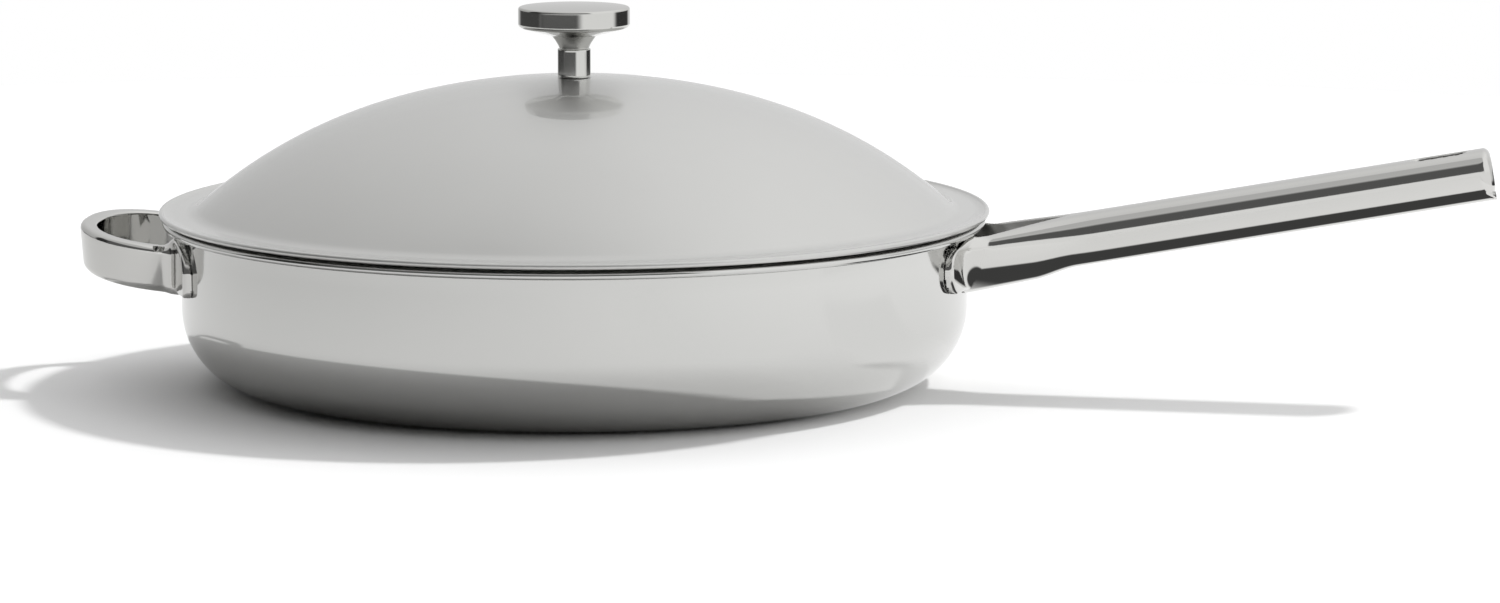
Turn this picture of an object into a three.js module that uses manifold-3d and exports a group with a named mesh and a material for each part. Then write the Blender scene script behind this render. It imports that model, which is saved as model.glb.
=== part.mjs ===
// Covered pan: a stainless body with a riveted long handle and a loop handle,
// and a domed lid with a turned knob.
// Millimetres, +Z up. The origin lies on the pan's axis, on the plane that it stands on.
// The long handle points along +X and the loop handle along -X.

import * as THREE from 'three';
import { mergeVertices } from 'three/addons/utils/BufferGeometryUtils.js';
import Module from 'manifold-3d';

const wasm = await Module();
wasm.setup();

// Pan body, measured on the outside of the sheet
const panWallRadius = 142;
const panHeight = 61.5;
const panCornerRadius = 28;
const panSheet = 2.6;
const lipBendRadius = 3;
const lipTurnDegrees = 122;

// Lid, a pressed dome with a flat flange and a thick rolled edge
const lidSheet = 1;
const lidOverhang = 1.9;
const lidEdgeRadius = 1;
const domeRise = 47.5;
const domeFullness = 0.265;
const domeFootInset = 3.9;
const domeFootStep = 1.8;
const ringThickness = 1;
const ringDrop = 7;
const ringClearance = 0.8;

// Knob, turned from bar, with the stack that holds it
const knobHeight = 25.4;
const knobDiscDiameter = 40.2;
const knobDiscThickness = 7.6;
const knobCrown = 0.6;
const knobTopEdgeRadius = 2.2;
const knobLowEdge = 0.4;
const knobUnderCut = 1.8;
const knobNeckDiameter = 16.4;
const knobNeckHeight = 5;
const knobStemDiameter = 11.9;
const gasketThickness = 0.6;
const screwDiameter = 5;
const screwThreadDepth = 11;
const screwHeadDiameter = 9.4;
const screwHeadHeight = 3;
const screwHeadCrown = 1.4;
const screwEndChamfer = 0.8;
const washerDiameter = 15;
const washerThickness = 1;
const lockWasherDiameter = 9;
const lockWasherThickness = 1.3;
const lockWasherSplit = 1.2;

// Long handle, a hollow casting with a scooped root and a hanging slot
const handleLength = 190.6;
const handleRiseDegrees = 10;
const handleAxisHeight = 46.9;
const gripWidth = 22;
const gripHeight = 18.4;
const gripSquareness = 2.9;
const handleFlareLength = 45;
const handleFlareCurve = 1.25;
const handleRootTopWidth = 47;
const handleRootLowWidth = 43;
const handleRootDrop = 1.8;
const handleWall = 2.4;
const ventDiameter = 3;
const ventInset = 8;
const scoopLength = 38.5;
const scoopWidth = 42;
const scoopDepth = 11;
const scoopPointShare = 0.01;
const slotLength = 19;
const slotWidth = 7;
const slotEndRoundness = 0.97;
const slotEndMargin = 8.6;
const tipTopRadius = 3;
const tipSideRadius = 5;
const tipLowRadius = 1;
const handleFootWidth = 75;
const handleFootHeight = 16.5;
const handleFootLowEdge = 37.8;

// Loop handle, a cast band on two feet
const loopReach = 38.4;
const loopRiseDegrees = 9.3;
const loopSpan = 92.4;
const loopDrawIn = 0.7;
const loopRootDepth = 8.7;
const loopTopThickness = 6.4;
const loopLowThickness = 4;
const loopBandHeight = 16.6;
const loopLowEdge = 34.6;
const loopRoundness = 2.33;
const loopSquareness = 5;
const loopFootWidth = 38;
const loopFootCentre = 41;
const loopFootHeight = 18;
const loopFootLowEdge = 36;

// Feet and rivets of both handles
const footThickness = 3;
const footCornerRadius = 6;
const rivetDiameter = 5;
const rivetHeadDiameter = 11;
const rivetHeadHeight = 2.2;
const rivetHeadCrown = 1.6;
const rivetCover = 0.8;
const footRivetInset = 7.5;
const handleRivetRise = 8.7;
const lowerRivetRise = 3.7;
const loopRivetRise = 9;

// Gaps that keep neighbouring pieces apart
const seatGap = 0.3;
const stackGap = 0.1;
const holeClearance = 0.3;

// Facet counts
const panSegments = 64;
const seatSegments = 96;
const knobSegments = 32;
const rivetSegments = 16;
const cornerSteps = 6;
const lipSteps = 5;
const domeSteps = 8;
const footFilletSteps = 3;
const edgeSteps = 5;
const capSteps = 3;
const coveSteps = 4;
const plateCornerSteps = 3;
const slotCornerSteps = 6;
const flareSteps = 7;
const tipSteps = 4;
const scoopSteps = 6;
const handleSectionPoints = 20;
const loopSectionPoints = 16;
const loopSteps = 24;

// Places that several pieces share
const panInsideRadius = panWallRadius - panSheet;
const panFloorRadius = panWallRadius - panCornerRadius;
const lipCentre = new THREE.Vector2(panWallRadius + lipBendRadius, panHeight - lipBendRadius - panSheet);
const lipEndAngle = Math.PI - THREE.MathUtils.degToRad(lipTurnDegrees);
const lipReach = lipCentre.x + (lipBendRadius + panSheet) * Math.cos(lipEndAngle);
const seatRadius = panWallRadius + seatGap;
const footFaceRadius = seatRadius + footThickness;
const rivetSocketRadius = footFaceRadius - rivetCover;
const flangeUnder = panHeight + seatGap;
const flangeTop = flangeUnder + lidSheet;
const lidRadius = lipReach + lidOverhang;
const domeFootRadius = panInsideRadius - domeFootInset;
const lidHoleRadius = screwDiameter / 2 + holeClearance;
const domeTop = flangeTop + domeRise;
const knobBase = domeTop + gasketThickness + stackGap;
const washerTop = domeHeight(washerDiameter / 2) - lidSheet - seatGap;
const lockWasherTop = washerTop - washerThickness - stackGap;
const screwHeadTop = lockWasherTop - lockWasherThickness - stackGap;
const handleRise = THREE.MathUtils.degToRad(handleRiseDegrees);
const loopRise = THREE.MathUtils.degToRad(loopRiseDegrees);
const slotCentre = handleLength - slotEndMargin - slotLength / 2;

const stainless = { color: 0xc9c9c7, roughness: 0.18, metalness: 1 };
const finishes = {
  polished: new THREE.MeshStandardMaterial({ ...stainless }),
  satinInside: new THREE.MeshStandardMaterial({ ...stainless, roughness: 0.32 }),
  hardware: new THREE.MeshStandardMaterial({ color: 0xb9bab8, roughness: 0.3, metalness: 1 }),
  silicone: new THREE.MeshStandardMaterial({ color: 0x2c2d2e, roughness: 0.75, metalness: 0 }),
};

// Solid helpers

function weld(geometry) {
  for (const name of ['normal', 'uv']) geometry.deleteAttribute(name);
  const merged = mergeVertices(geometry, 1e-4);
  const index = merged.getIndex().array;
  const kept = [];
  for (let i = 0; i < index.length; i += 3) {
    const [a, b, c] = [index[i], index[i + 1], index[i + 2]];
    if (a !== b && b !== c && c !== a) kept.push(a, b, c);
  }
  merged.setIndex(kept);
  return merged;
}

function solidOf(geometry) {
  const welded = weld(geometry);
  const vertProperties = new Float32Array(welded.getAttribute('position').array);
  const triVerts = new Uint32Array(welded.getIndex().array);
  return new wasm.Manifold(new wasm.Mesh({ numProp: 3, vertProperties, triVerts }));
}

function geometryOf(solid) {
  const mesh = solid.getMesh();
  const geometry = new THREE.BufferGeometry();
  geometry.setAttribute('position', new THREE.BufferAttribute(new Float32Array(mesh.vertProperties), 3));
  geometry.setIndex(new THREE.BufferAttribute(new Uint32Array(mesh.triVerts), 1));
  geometry.computeVertexNormals();
  return geometry;
}

function cutAll(solid, cutters) {
  return cutters.reduce((rest, cutter) => rest.subtract(cutter), solid);
}

// Turns a profile of (radius, height) points about the Z axis, with its faces outwards.
function revolve(profile, segments) {
  const points = profile.map((point) => new THREE.Vector2(point.x, point.y));
  if (THREE.ShapeUtils.area(points) < 0) points.reverse();
  return new THREE.LatheGeometry(points, segments).rotateX(Math.PI / 2);
}

// Joins a row of like closed rings into one body with flat ends.
function loft(rings) {
  const size = rings[0].length;
  const last = rings.length - 1;
  const at = (ring, point) => ring * size + (point % size);
  const index = [];
  for (let ring = 0; ring < last; ring += 1) {
    for (let point = 0; point < size; point += 1) {
      index.push(at(ring, point), at(ring, point + 1), at(ring + 1, point));
      index.push(at(ring, point + 1), at(ring + 1, point + 1), at(ring + 1, point));
    }
  }
  for (let point = 1; point < size - 1; point += 1) {
    index.push(at(0, 0), at(0, point + 1), at(0, point));
    index.push(at(last, 0), at(last, point), at(last, point + 1));
  }
  const geometry = new THREE.BufferGeometry().setFromPoints(rings.flat());
  geometry.setIndex(index);
  return geometry;
}

// A closed section, squarer than an ellipse, whose width may differ from top to bottom.
function roundedSection({ topWidth, lowWidth, top, bottom, squareness, count }) {
  const middle = (top + bottom) / 2;
  const half = (top - bottom) / 2;
  const swell = (value) => Math.sign(value) * Math.abs(value) ** (2 / squareness);
  return Array.from({ length: count }, (_, k) => {
    const angle = (2 * Math.PI * k) / count;
    const rise = swell(Math.sin(angle));
    const width = THREE.MathUtils.lerp(lowWidth, topWidth, (rise + 1) / 2);
    return new THREE.Vector2((swell(Math.cos(angle)) * width) / 2, middle + rise * half);
  });
}

function roundedRectangle(width, height, radius) {
  const shape = new THREE.Shape();
  const x = width / 2 - radius;
  const y = height / 2 - radius;
  shape.absarc(x, y, radius, 0, Math.PI / 2);
  shape.absarc(-x, y, radius, Math.PI / 2, Math.PI);
  shape.absarc(-x, -y, radius, Math.PI, 1.5 * Math.PI);
  shape.absarc(x, -y, radius, 1.5 * Math.PI, 2 * Math.PI);
  shape.closePath();
  return shape;
}

// Points of an arc with the normals that lead into the sheet.
function sheetArc(centre, radius, from, to, steps, side) {
  return Array.from({ length: steps + 1 }, (_, k) => {
    const angle = THREE.MathUtils.lerp(from, to, k / steps);
    const out = new THREE.Vector2(Math.cos(angle), Math.sin(angle));
    return {
      point: out.clone().multiplyScalar(radius).add(centre),
      normal: out.multiplyScalar(side),
    };
  });
}

function offsetPath(path, depth) {
  return path.map(({ point, normal }) => point.clone().addScaledVector(normal, depth));
}

// Profile of a low dome from its axis to its rim, which rises (or falls) from the height of the rim.
function capProfile(rimRadius, crown, rimHeight, side) {
  const ballRadius = (rimRadius ** 2 + crown ** 2) / (2 * crown);
  const spread = Math.asin(rimRadius / ballRadius);
  return Array.from({ length: capSteps + 1 }, (_, k) => {
    const angle = (spread * k) / capSteps;
    const rise = crown - ballRadius * (1 - Math.cos(angle));
    return new THREE.Vector2(ballRadius * Math.sin(angle), rimHeight + side * rise);
  });
}

// Pan body: one drawn sheet from the middle of the base to the turned-out lip

function panOutline() {
  const up = new THREE.Vector2(0, 1);
  const cornerCentre = new THREE.Vector2(panFloorRadius, panCornerRadius);
  return [
    { point: new THREE.Vector2(0, 0), normal: up },
    ...sheetArc(cornerCentre, panCornerRadius, -Math.PI / 2, 0, cornerSteps, -1),
    ...sheetArc(lipCentre, lipBendRadius, Math.PI, lipEndAngle, lipSteps, 1),
  ];
}

function panShell() {
  const outline = panOutline();
  const outside = offsetPath(outline, 0);
  const inside = offsetPath(outline, panSheet).reverse();
  const sheet = solidOf(revolve([...outside, ...inside], panSegments));
  return cutAll(sheet, rivetPlaces().map(rivetHole));
}

// Rivets: a low dome inside the pan and a shank that ends in a blind socket of the foot

function rivetPlaces() {
  const handleSpread = handleFootWidth / 2 - footRivetInset;
  const handleHeight = handleFootLowEdge + handleRivetRise;
  const lowerHeight = handleFootLowEdge + lowerRivetRise;
  const loopSpread = loopFootCentre + loopFootWidth / 2 - footRivetInset;
  const loopHeight = loopFootLowEdge + loopRivetRise;
  return [
    { name: 'handle_rivet_left', spread: handleSpread, height: handleHeight, turn: 0 },
    { name: 'handle_rivet_right', spread: -handleSpread, height: handleHeight, turn: 0 },
    { name: 'handle_rivet_lower', spread: 0, height: lowerHeight, turn: 0 },
    { name: 'loop_rivet_left', spread: loopSpread, height: loopHeight, turn: Math.PI },
    { name: 'loop_rivet_right', spread: -loopSpread, height: loopHeight, turn: Math.PI },
  ];
}

// Lays a body made about +Z along the radius of the pan through a rivet.
function alongRivet(geometry, { spread, height, turn }) {
  const azimuth = turn + Math.asin(spread / panWallRadius);
  return geometry.rotateY(Math.PI / 2).rotateZ(azimuth).translate(0, 0, height);
}

function rivetHole(place) {
  const radius = rivetDiameter / 2 + holeClearance;
  const start = panInsideRadius - rivetHeadHeight - seatGap;
  const bore = [
    new THREE.Vector2(0, start),
    new THREE.Vector2(radius, start),
    new THREE.Vector2(radius, rivetSocketRadius),
    new THREE.Vector2(0, rivetSocketRadius),
  ];
  return solidOf(alongRivet(revolve(bore, rivetSegments), place));
}

function rivet(place) {
  const headRadius = rivetHeadDiameter / 2;
  const shankRadius = rivetDiameter / 2;
  const facetInset = panInsideRadius * (1 - Math.cos(Math.PI / panSegments));
  const curveInset = headRadius ** 2 / (2 * panInsideRadius);
  const seat = panInsideRadius - facetInset - curveInset - stackGap;
  const rim = seat - rivetHeadHeight + rivetHeadCrown;
  const shankEnd = rivetSocketRadius - seatGap;
  const profile = [
    ...capProfile(headRadius, rivetHeadCrown, rim, -1),
    new THREE.Vector2(headRadius, seat),
    new THREE.Vector2(shankRadius, seat),
    new THREE.Vector2(shankRadius, shankEnd),
    new THREE.Vector2(0, shankEnd),
  ];
  return solidOf(alongRivet(revolve(profile, rivetSegments), place));
}

// A curved foot that lies on the pan's wall, centred at a distance across the handle
function footPlate({ centre, width, height, lowEdge }) {
  const middle = lowEdge + height / 2;
  const ring = [
    new THREE.Vector2(seatRadius, lowEdge - footThickness),
    new THREE.Vector2(footFaceRadius, lowEdge - footThickness),
    new THREE.Vector2(footFaceRadius, lowEdge + height + footThickness),
    new THREE.Vector2(seatRadius, lowEdge + height + footThickness),
    new THREE.Vector2(seatRadius, lowEdge - footThickness),
  ];
  const outline = roundedRectangle(width, height, footCornerRadius);
  const across = new THREE.Matrix4().makeBasis(
    new THREE.Vector3(0, 1, 0),
    new THREE.Vector3(0, 0, 1),
    new THREE.Vector3(1, 0, 0),
  );
  const depth = footFaceRadius + footThickness;
  const options = { depth, bevelEnabled: false, curveSegments: plateCornerSteps };
  const prism = new THREE.ExtrudeGeometry(outline, options).applyMatrix4(across);
  return solidOf(revolve(ring, seatSegments)).intersect(solidOf(prism.translate(0, centre, middle)));
}

function wallCutter() {
  const height = 4 * panHeight;
  const wall = new THREE.CylinderGeometry(seatRadius, seatRadius, height, seatSegments);
  return solidOf(wall.rotateX(Math.PI / 2));
}

// Long handle

// Places a point of a section at a distance along the handle's rising axis.
function onHandle(along, section) {
  const across = section.x;
  const up = section.y;
  return new THREE.Vector3(
    panWallRadius + along * Math.cos(handleRise) - up * Math.sin(handleRise),
    across,
    handleAxisHeight + along * Math.sin(handleRise) + up * Math.cos(handleRise),
  );
}

function handleSection(along, inset) {
  const flare = Math.max(0, 1 - along / handleFlareLength) ** handleFlareCurve;
  return {
    topWidth: THREE.MathUtils.lerp(gripWidth, handleRootTopWidth, flare) - 2 * inset,
    lowWidth: THREE.MathUtils.lerp(gripWidth, handleRootLowWidth, flare) - 2 * inset,
    top: gripHeight / 2 - inset,
    bottom: -gripHeight / 2 - handleRootDrop * flare + inset,
    squareness: gripSquareness,
    count: handleSectionPoints,
  };
}

function handleRing(along, section) {
  return roundedSection(section).map((point) => onHandle(along, point));
}

function handleBar() {
  const rootStart = -handleFootHeight / 2;
  const flare = Array.from({ length: flareSteps + 1 }, (_, k) => handleFlareLength * (k / flareSteps) ** 2);
  const rings = [rootStart, ...flare].map((along) => {
    const section = handleSection(Math.max(0, along), 0);
    return handleRing(along, section);
  });
  for (let k = 0; k <= tipSteps; k += 1) {
    const angle = (Math.PI / 2) * (k / tipSteps);
    const along = handleLength - tipTopRadius * (1 - Math.sin(angle));
    const fall = 1 - Math.cos(angle);
    const section = handleSection(along, 0);
    section.top -= tipTopRadius * fall;
    section.bottom += tipLowRadius * fall;
    section.topWidth -= 2 * tipSideRadius * fall;
    section.lowWidth -= 2 * tipSideRadius * fall;
    rings.push(handleRing(along, section));
  }
  return solidOf(loft(rings));
}

// Teardrop scoop in the top of the root, open towards the pan and pointed along the grip
function handleScoop() {
  const rings = Array.from({ length: scoopSteps + 2 }, (_, k) => {
    const share = (k - 1) / scoopSteps;
    const taper = Math.min(1, 1 - share) + scoopPointShare;
    const depth = scoopDepth * Math.sqrt(taper);
    return handleRing(k === 0 ? -gripWidth : share * scoopLength, {
      topWidth: scoopWidth * taper,
      lowWidth: scoopWidth * taper,
      top: gripHeight / 2 + depth,
      bottom: gripHeight / 2 - depth,
      squareness: 2,
      count: handleSectionPoints,
    });
  });
  return solidOf(loft(rings));
}

function handleHollow() {
  const start = scoopLength + handleWall;
  const end = slotCentre - slotLength / 2 - handleWall;
  const stations = [start, (start + end) / 2, end];
  return solidOf(loft(stations.map((along) => handleRing(along, handleSection(along, handleWall)))));
}

// A cutter square to the grip, for the hanging slot and the casting's vent
function acrossGrip(shape, along, from, to) {
  const depth = to - from;
  const options = { depth, bevelEnabled: false, curveSegments: slotCornerSteps };
  const geometry = new THREE.ExtrudeGeometry(shape, options);
  geometry.translate(0, 0, from).rotateY(-handleRise);
  const place = onHandle(along, new THREE.Vector2(0, 0));
  return solidOf(geometry.translate(place.x, place.y, place.z));
}

function longHandle() {
  const ventShape = new THREE.Shape().absarc(0, 0, ventDiameter / 2, 0, 2 * Math.PI);
  const ventAlong = scoopLength + handleWall + ventInset;
  const slotShape = roundedRectangle(slotLength, slotWidth, (slotEndRoundness * slotWidth) / 2);
  const foot = footPlate({
    centre: 0,
    width: handleFootWidth,
    height: handleFootHeight,
    lowEdge: handleFootLowEdge,
  });
  return cutAll(handleBar().add(foot), [
    wallCutter(),
    handleScoop(),
    handleHollow(),
    acrossGrip(slotShape, slotCentre, -gripHeight, gripHeight),
    acrossGrip(ventShape, ventAlong, -gripHeight, 0),
    ...rivetPlaces().map(rivetHole),
  ]);
}

// Loop handle, modelled along +X and turned to the other side of the pan

// Middle of the band in plan: an oval whose sides draw in towards the pan
function loopPlace(angle) {
  const reach = loopReach - loopTopThickness / 2 + loopRootDepth;
  const bend = (value) => Math.sign(value) * Math.abs(value) ** (2 / loopRoundness);
  const outward = bend(Math.sin(angle));
  const drawIn = 1 - loopDrawIn * (1 - outward) ** 2;
  return new THREE.Vector2(
    panWallRadius - loopRootDepth + reach * outward,
    (-loopSpan / 2) * drawIn * bend(Math.cos(angle)),
  );
}

function loopRing(angle) {
  const step = Math.PI / (8 * loopSteps);
  const centre = loopPlace(angle);
  const heading = loopPlace(angle + step).sub(loopPlace(angle - step)).normalize();
  const lift = (centre.x - panWallRadius) * Math.tan(loopRise);
  const section = roundedSection({
    topWidth: loopTopThickness,
    lowWidth: loopLowThickness,
    top: lift + loopLowEdge + loopBandHeight,
    bottom: lift + loopLowEdge,
    squareness: loopSquareness,
    count: loopSectionPoints,
  });
  return section.map(({ x, y }) => {
    const out = new THREE.Vector2(-heading.y, heading.x).multiplyScalar(x).add(centre);
    return new THREE.Vector3(out.x, out.y, y);
  });
}

function loopBand() {
  const rings = Array.from({ length: loopSteps + 1 }, (_, k) => loopRing((Math.PI * k) / loopSteps));
  return solidOf(loft(rings));
}

function loopHandle() {
  const foot = { width: loopFootWidth, height: loopFootHeight, lowEdge: loopFootLowEdge };
  const feet = [1, -1].map((side) => footPlate({ ...foot, centre: side * loopFootCentre }));
  const joined = feet.reduce((whole, plate) => whole.add(plate), loopBand());
  const turned = joined.subtract(wallCutter()).rotate([0, 0, 180]);
  return cutAll(turned, rivetPlaces().map(rivetHole));
}

// Lid

// Height of the dome's outside at a radius
function domeHeight(radius) {
  const share = radius / domeFootRadius;
  const fall = (1 - domeFullness) * share ** 2 + domeFullness * share ** 4;
  return domeTop - (domeRise - domeFootStep) * fall;
}

function domeSlope(radius) {
  const share = radius / domeFootRadius;
  const rate = 2 * (1 - domeFullness) * share + 4 * domeFullness * share ** 3;
  return (-(domeRise - domeFootStep) * rate) / domeFootRadius;
}

function lidOutline() {
  const dome = Array.from({ length: domeSteps }, (_, k) => {
    const radius = THREE.MathUtils.lerp(lidHoleRadius, domeFootRadius, k / domeSteps);
    return {
      point: new THREE.Vector2(radius, domeHeight(radius)),
      normal: new THREE.Vector2(domeSlope(radius), -1).normalize(),
    };
  });
  const footAngle = Math.atan(-domeSlope(domeFootRadius));
  const filletRadius = domeFootStep / (1 - Math.cos(footAngle));
  const filletCentre = new THREE.Vector2(
    domeFootRadius + filletRadius * Math.sin(footAngle),
    flangeTop + filletRadius,
  );
  const start = -Math.PI / 2 - footAngle;
  return [...dome, ...sheetArc(filletCentre, filletRadius, start, -Math.PI / 2, footFilletSteps, 1)];
}

function lidShell() {
  const outline = lidOutline();
  const edgeCentre = new THREE.Vector2(lidRadius - lidEdgeRadius, flangeTop - lidSheet / 2);
  const edgeStart = Math.PI - Math.asin(lidSheet / (2 * lidEdgeRadius));
  const edge = sheetArc(edgeCentre, lidEdgeRadius, edgeStart, -edgeStart, edgeSteps, 1);
  const top = offsetPath(outline, 0);
  const under = offsetPath(outline, lidSheet).reverse();
  return solidOf(revolve([...top, ...offsetPath(edge, 0), ...under, top[0]], panSegments));
}

// Band welded under the dome's foot, which drops inside the pan's wall and centres the lid
function locatingRing() {
  const outer = panInsideRadius - ringClearance;
  const inner = outer - ringThickness;
  const low = flangeUnder - ringDrop;
  const taper = ringThickness / 2;
  const profile = [
    new THREE.Vector2(inner, flangeUnder),
    new THREE.Vector2(inner, low),
    new THREE.Vector2(outer - taper, low),
    new THREE.Vector2(outer, low + taper),
    new THREE.Vector2(outer, flangeUnder),
    new THREE.Vector2(inner, flangeUnder),
  ];
  return solidOf(revolve(profile, panSegments));
}

// Knob: disc, coved neck and stem in one turning, tapped from below
function knob() {
  const discRadius = knobDiscDiameter / 2;
  const stemRadius = knobStemDiameter / 2;
  const neckRadius = knobNeckDiameter / 2;
  const boreRadius = screwDiameter / 2 + holeClearance;
  const boreEnd = knobBase + screwThreadDepth + seatGap;
  const top = knobBase + knobHeight;
  const discTop = top - knobCrown;
  const discLow = discTop - knobDiscThickness;
  const neckTop = discLow - knobUnderCut;
  const cove = Array.from({ length: coveSteps + 1 }, (_, k) => {
    const angle = (Math.PI / 2) * (k / coveSteps);
    return new THREE.Vector2(
      neckRadius - (neckRadius - stemRadius) * Math.cos(angle),
      neckTop - knobNeckHeight * (1 - Math.sin(angle)),
    );
  });
  const edgeCentre = new THREE.Vector2(discRadius - knobTopEdgeRadius, discTop - knobTopEdgeRadius);
  const edge = offsetPath(sheetArc(edgeCentre, knobTopEdgeRadius, 0, Math.PI / 2, capSteps, 1), 0);
  const crown = capProfile(edgeCentre.x, knobCrown, discTop, 1).reverse();
  const profile = [
    new THREE.Vector2(0, boreEnd),
    new THREE.Vector2(boreRadius, boreEnd),
    new THREE.Vector2(boreRadius, knobBase),
    new THREE.Vector2(stemRadius, knobBase),
    ...cove,
    new THREE.Vector2(discRadius - knobLowEdge, discLow),
    new THREE.Vector2(discRadius, discLow + knobLowEdge),
    ...edge,
    ...crown,
  ];
  return solidOf(revolve(profile, knobSegments));
}

function flatRing(outer, inner, low, thickness) {
  const profile = [
    new THREE.Vector2(inner, low),
    new THREE.Vector2(outer, low),
    new THREE.Vector2(outer, low + thickness),
    new THREE.Vector2(inner, low + thickness),
    new THREE.Vector2(inner, low),
  ];
  return solidOf(revolve(profile, knobSegments));
}

// Split spring washer, open at its cut
function lockWasher() {
  const low = lockWasherTop - lockWasherThickness;
  const ring = flatRing(lockWasherDiameter / 2, lidHoleRadius, low, lockWasherThickness);
  const cut = new THREE.BoxGeometry(lockWasherDiameter, lockWasherSplit, 2 * lockWasherThickness);
  return ring.subtract(solidOf(cut.translate(lockWasherDiameter / 2, 0, low + lockWasherThickness / 2)));
}

function knobScrew() {
  const radius = screwDiameter / 2;
  const headRadius = screwHeadDiameter / 2;
  const headLow = screwHeadTop - screwHeadHeight;
  const end = knobBase + screwThreadDepth;
  const profile = [
    ...capProfile(headRadius, screwHeadCrown, headLow + screwHeadCrown, -1),
    new THREE.Vector2(headRadius, screwHeadTop),
    new THREE.Vector2(radius, screwHeadTop),
    new THREE.Vector2(radius, end - screwEndChamfer),
    new THREE.Vector2(radius - screwEndChamfer, end),
    new THREE.Vector2(0, end),
  ];
  return solidOf(revolve(profile, knobSegments));
}

// Assembly

function named(name, solid, material) {
  const mesh = new THREE.Mesh(geometryOf(solid), material);
  mesh.name = name;
  return mesh;
}

function panBody() {
  const group = new THREE.Group();
  group.add(
    named('pan_shell', panShell(), finishes.polished),
    named('long_handle', longHandle(), finishes.polished),
    named('loop_handle', loopHandle(), finishes.polished),
    ...rivetPlaces().map((place) => named(place.name, rivet(place), finishes.hardware)),
  );
  return group;
}

function lid() {
  const group = new THREE.Group();
  const gasket = flatRing(knobStemDiameter / 2, lidHoleRadius, domeTop, gasketThickness);
  const washer = flatRing(washerDiameter / 2, lidHoleRadius, washerTop - washerThickness, washerThickness);
  group.add(
    named('lid_shell', lidShell(), finishes.polished),
    named('lid_locating_ring', locatingRing(), finishes.satinInside),
    named('knob', knob(), finishes.polished),
    named('knob_gasket', gasket, finishes.silicone),
    named('knob_washer', washer, finishes.hardware),
    named('knob_lock_washer', lockWasher(), finishes.hardware),
    named('knob_screw', knobScrew(), finishes.hardware),
  );
  return group;
}

const coveredPan = new THREE.Group();
coveredPan.add(panBody(), lid());

export default coveredPan;
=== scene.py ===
"""Covered pan in polished stainless steel: body, two cast handles, domed lid and turned knob.

Sizes are in millimetres, as on a maker's drawing, and meshes are written in metres.
The handle points along +X, the lid lifts along +Z and the pan stands on the plane z = 0.
"""

import logging
import math
from dataclasses import dataclass, field, replace
from enum import Enum
from typing import Any, Callable, Sequence

import bpy
import numpy as np
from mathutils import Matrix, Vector


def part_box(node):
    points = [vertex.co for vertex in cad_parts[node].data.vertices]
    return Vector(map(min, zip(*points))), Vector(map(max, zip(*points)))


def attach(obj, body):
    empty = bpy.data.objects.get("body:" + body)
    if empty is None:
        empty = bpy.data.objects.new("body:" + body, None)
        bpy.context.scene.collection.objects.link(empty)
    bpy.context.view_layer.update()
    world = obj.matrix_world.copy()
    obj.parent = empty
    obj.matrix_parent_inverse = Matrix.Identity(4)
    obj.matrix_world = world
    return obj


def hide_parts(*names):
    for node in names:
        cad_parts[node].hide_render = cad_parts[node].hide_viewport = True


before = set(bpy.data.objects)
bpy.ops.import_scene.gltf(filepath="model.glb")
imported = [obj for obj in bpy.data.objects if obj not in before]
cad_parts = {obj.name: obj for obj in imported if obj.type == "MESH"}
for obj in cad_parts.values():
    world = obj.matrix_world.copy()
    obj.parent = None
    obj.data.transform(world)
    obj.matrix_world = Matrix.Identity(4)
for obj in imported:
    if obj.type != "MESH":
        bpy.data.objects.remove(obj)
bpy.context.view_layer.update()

MM = 0.001
LOG = logging.getLogger("covered_pan")

# Steps for slopes in millimetres, and small values that guard against zero
SLOPE_STEP = 0.02
SCALE_STEP = 0.05
ON_AXIS = 1e-6
LEAST_SLOPE = 1e-3
LEAST_STEEP = 1e-6
LEAST_LENGTH = 1e-9

Point = tuple[float, float]
Colour = tuple[float, float, float, float]
Field = Callable[[np.ndarray], np.ndarray]
Tree = bpy.types.NodeTree
Node = bpy.types.Node
Socket = bpy.types.NodeSocket
Material = bpy.types.Material
Piece = bpy.types.Object


class Body(Enum):
    """The two bodies that pieces ride on."""

    PAN = "pan"
    LID = "lid"


class Lines(Enum):
    """Which way the last polishing pass ran over a piece."""

    ROUND = "round"
    LENGTHWISE = "lengthwise"


# Shared helpers


def linear(hex_colour: str) -> Colour:
    """Turns an sRGB hex value into the linear colour that sockets take.

    Args:
        hex_colour: Six hex digits after a hash sign.

    Returns:
        Linear red, green, blue and an alpha of 1.
    """
    parts = [int(hex_colour[k:k + 2], 16) / 255 for k in (1, 3, 5)]
    shares = [p / 12.92 if p <= 0.04045 else ((p + 0.055) / 1.055) ** 2.4 for p in parts]
    return (shares[0], shares[1], shares[2], 1.0)


def add_node(tree: Tree, kind: str, inputs: dict[Any, Any] | None = None, **settings: Any) -> Node:
    """Adds a node with its settings, input values and incoming links.

    Args:
        tree: The node tree that takes the node.
        kind: The node's type name.
        inputs: Values or output sockets, by input name or number.
        **settings: Properties of the node.

    Returns:
        The new node.
    """
    node = tree.nodes.new(kind)
    for name, value in settings.items():
        setattr(node, name, value)
    for key, value in (inputs or {}).items():
        if isinstance(value, Socket):
            tree.links.new(value, node.inputs[key])
        else:
            node.inputs[key].default_value = value
    return node


def feed(tree: Tree, kind: str, inputs: dict[Any, Any] | None = None, **settings: Any) -> Socket:
    """Adds a node and gives its first output."""
    return add_node(tree, kind, inputs, **settings).outputs[0]


def calc(tree: Tree, operation: str, *values: Any, **settings: Any) -> Socket:
    """Adds a math node and gives its result."""
    return feed(tree, "ShaderNodeMath", dict(enumerate(values)), operation=operation, **settings)


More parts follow.
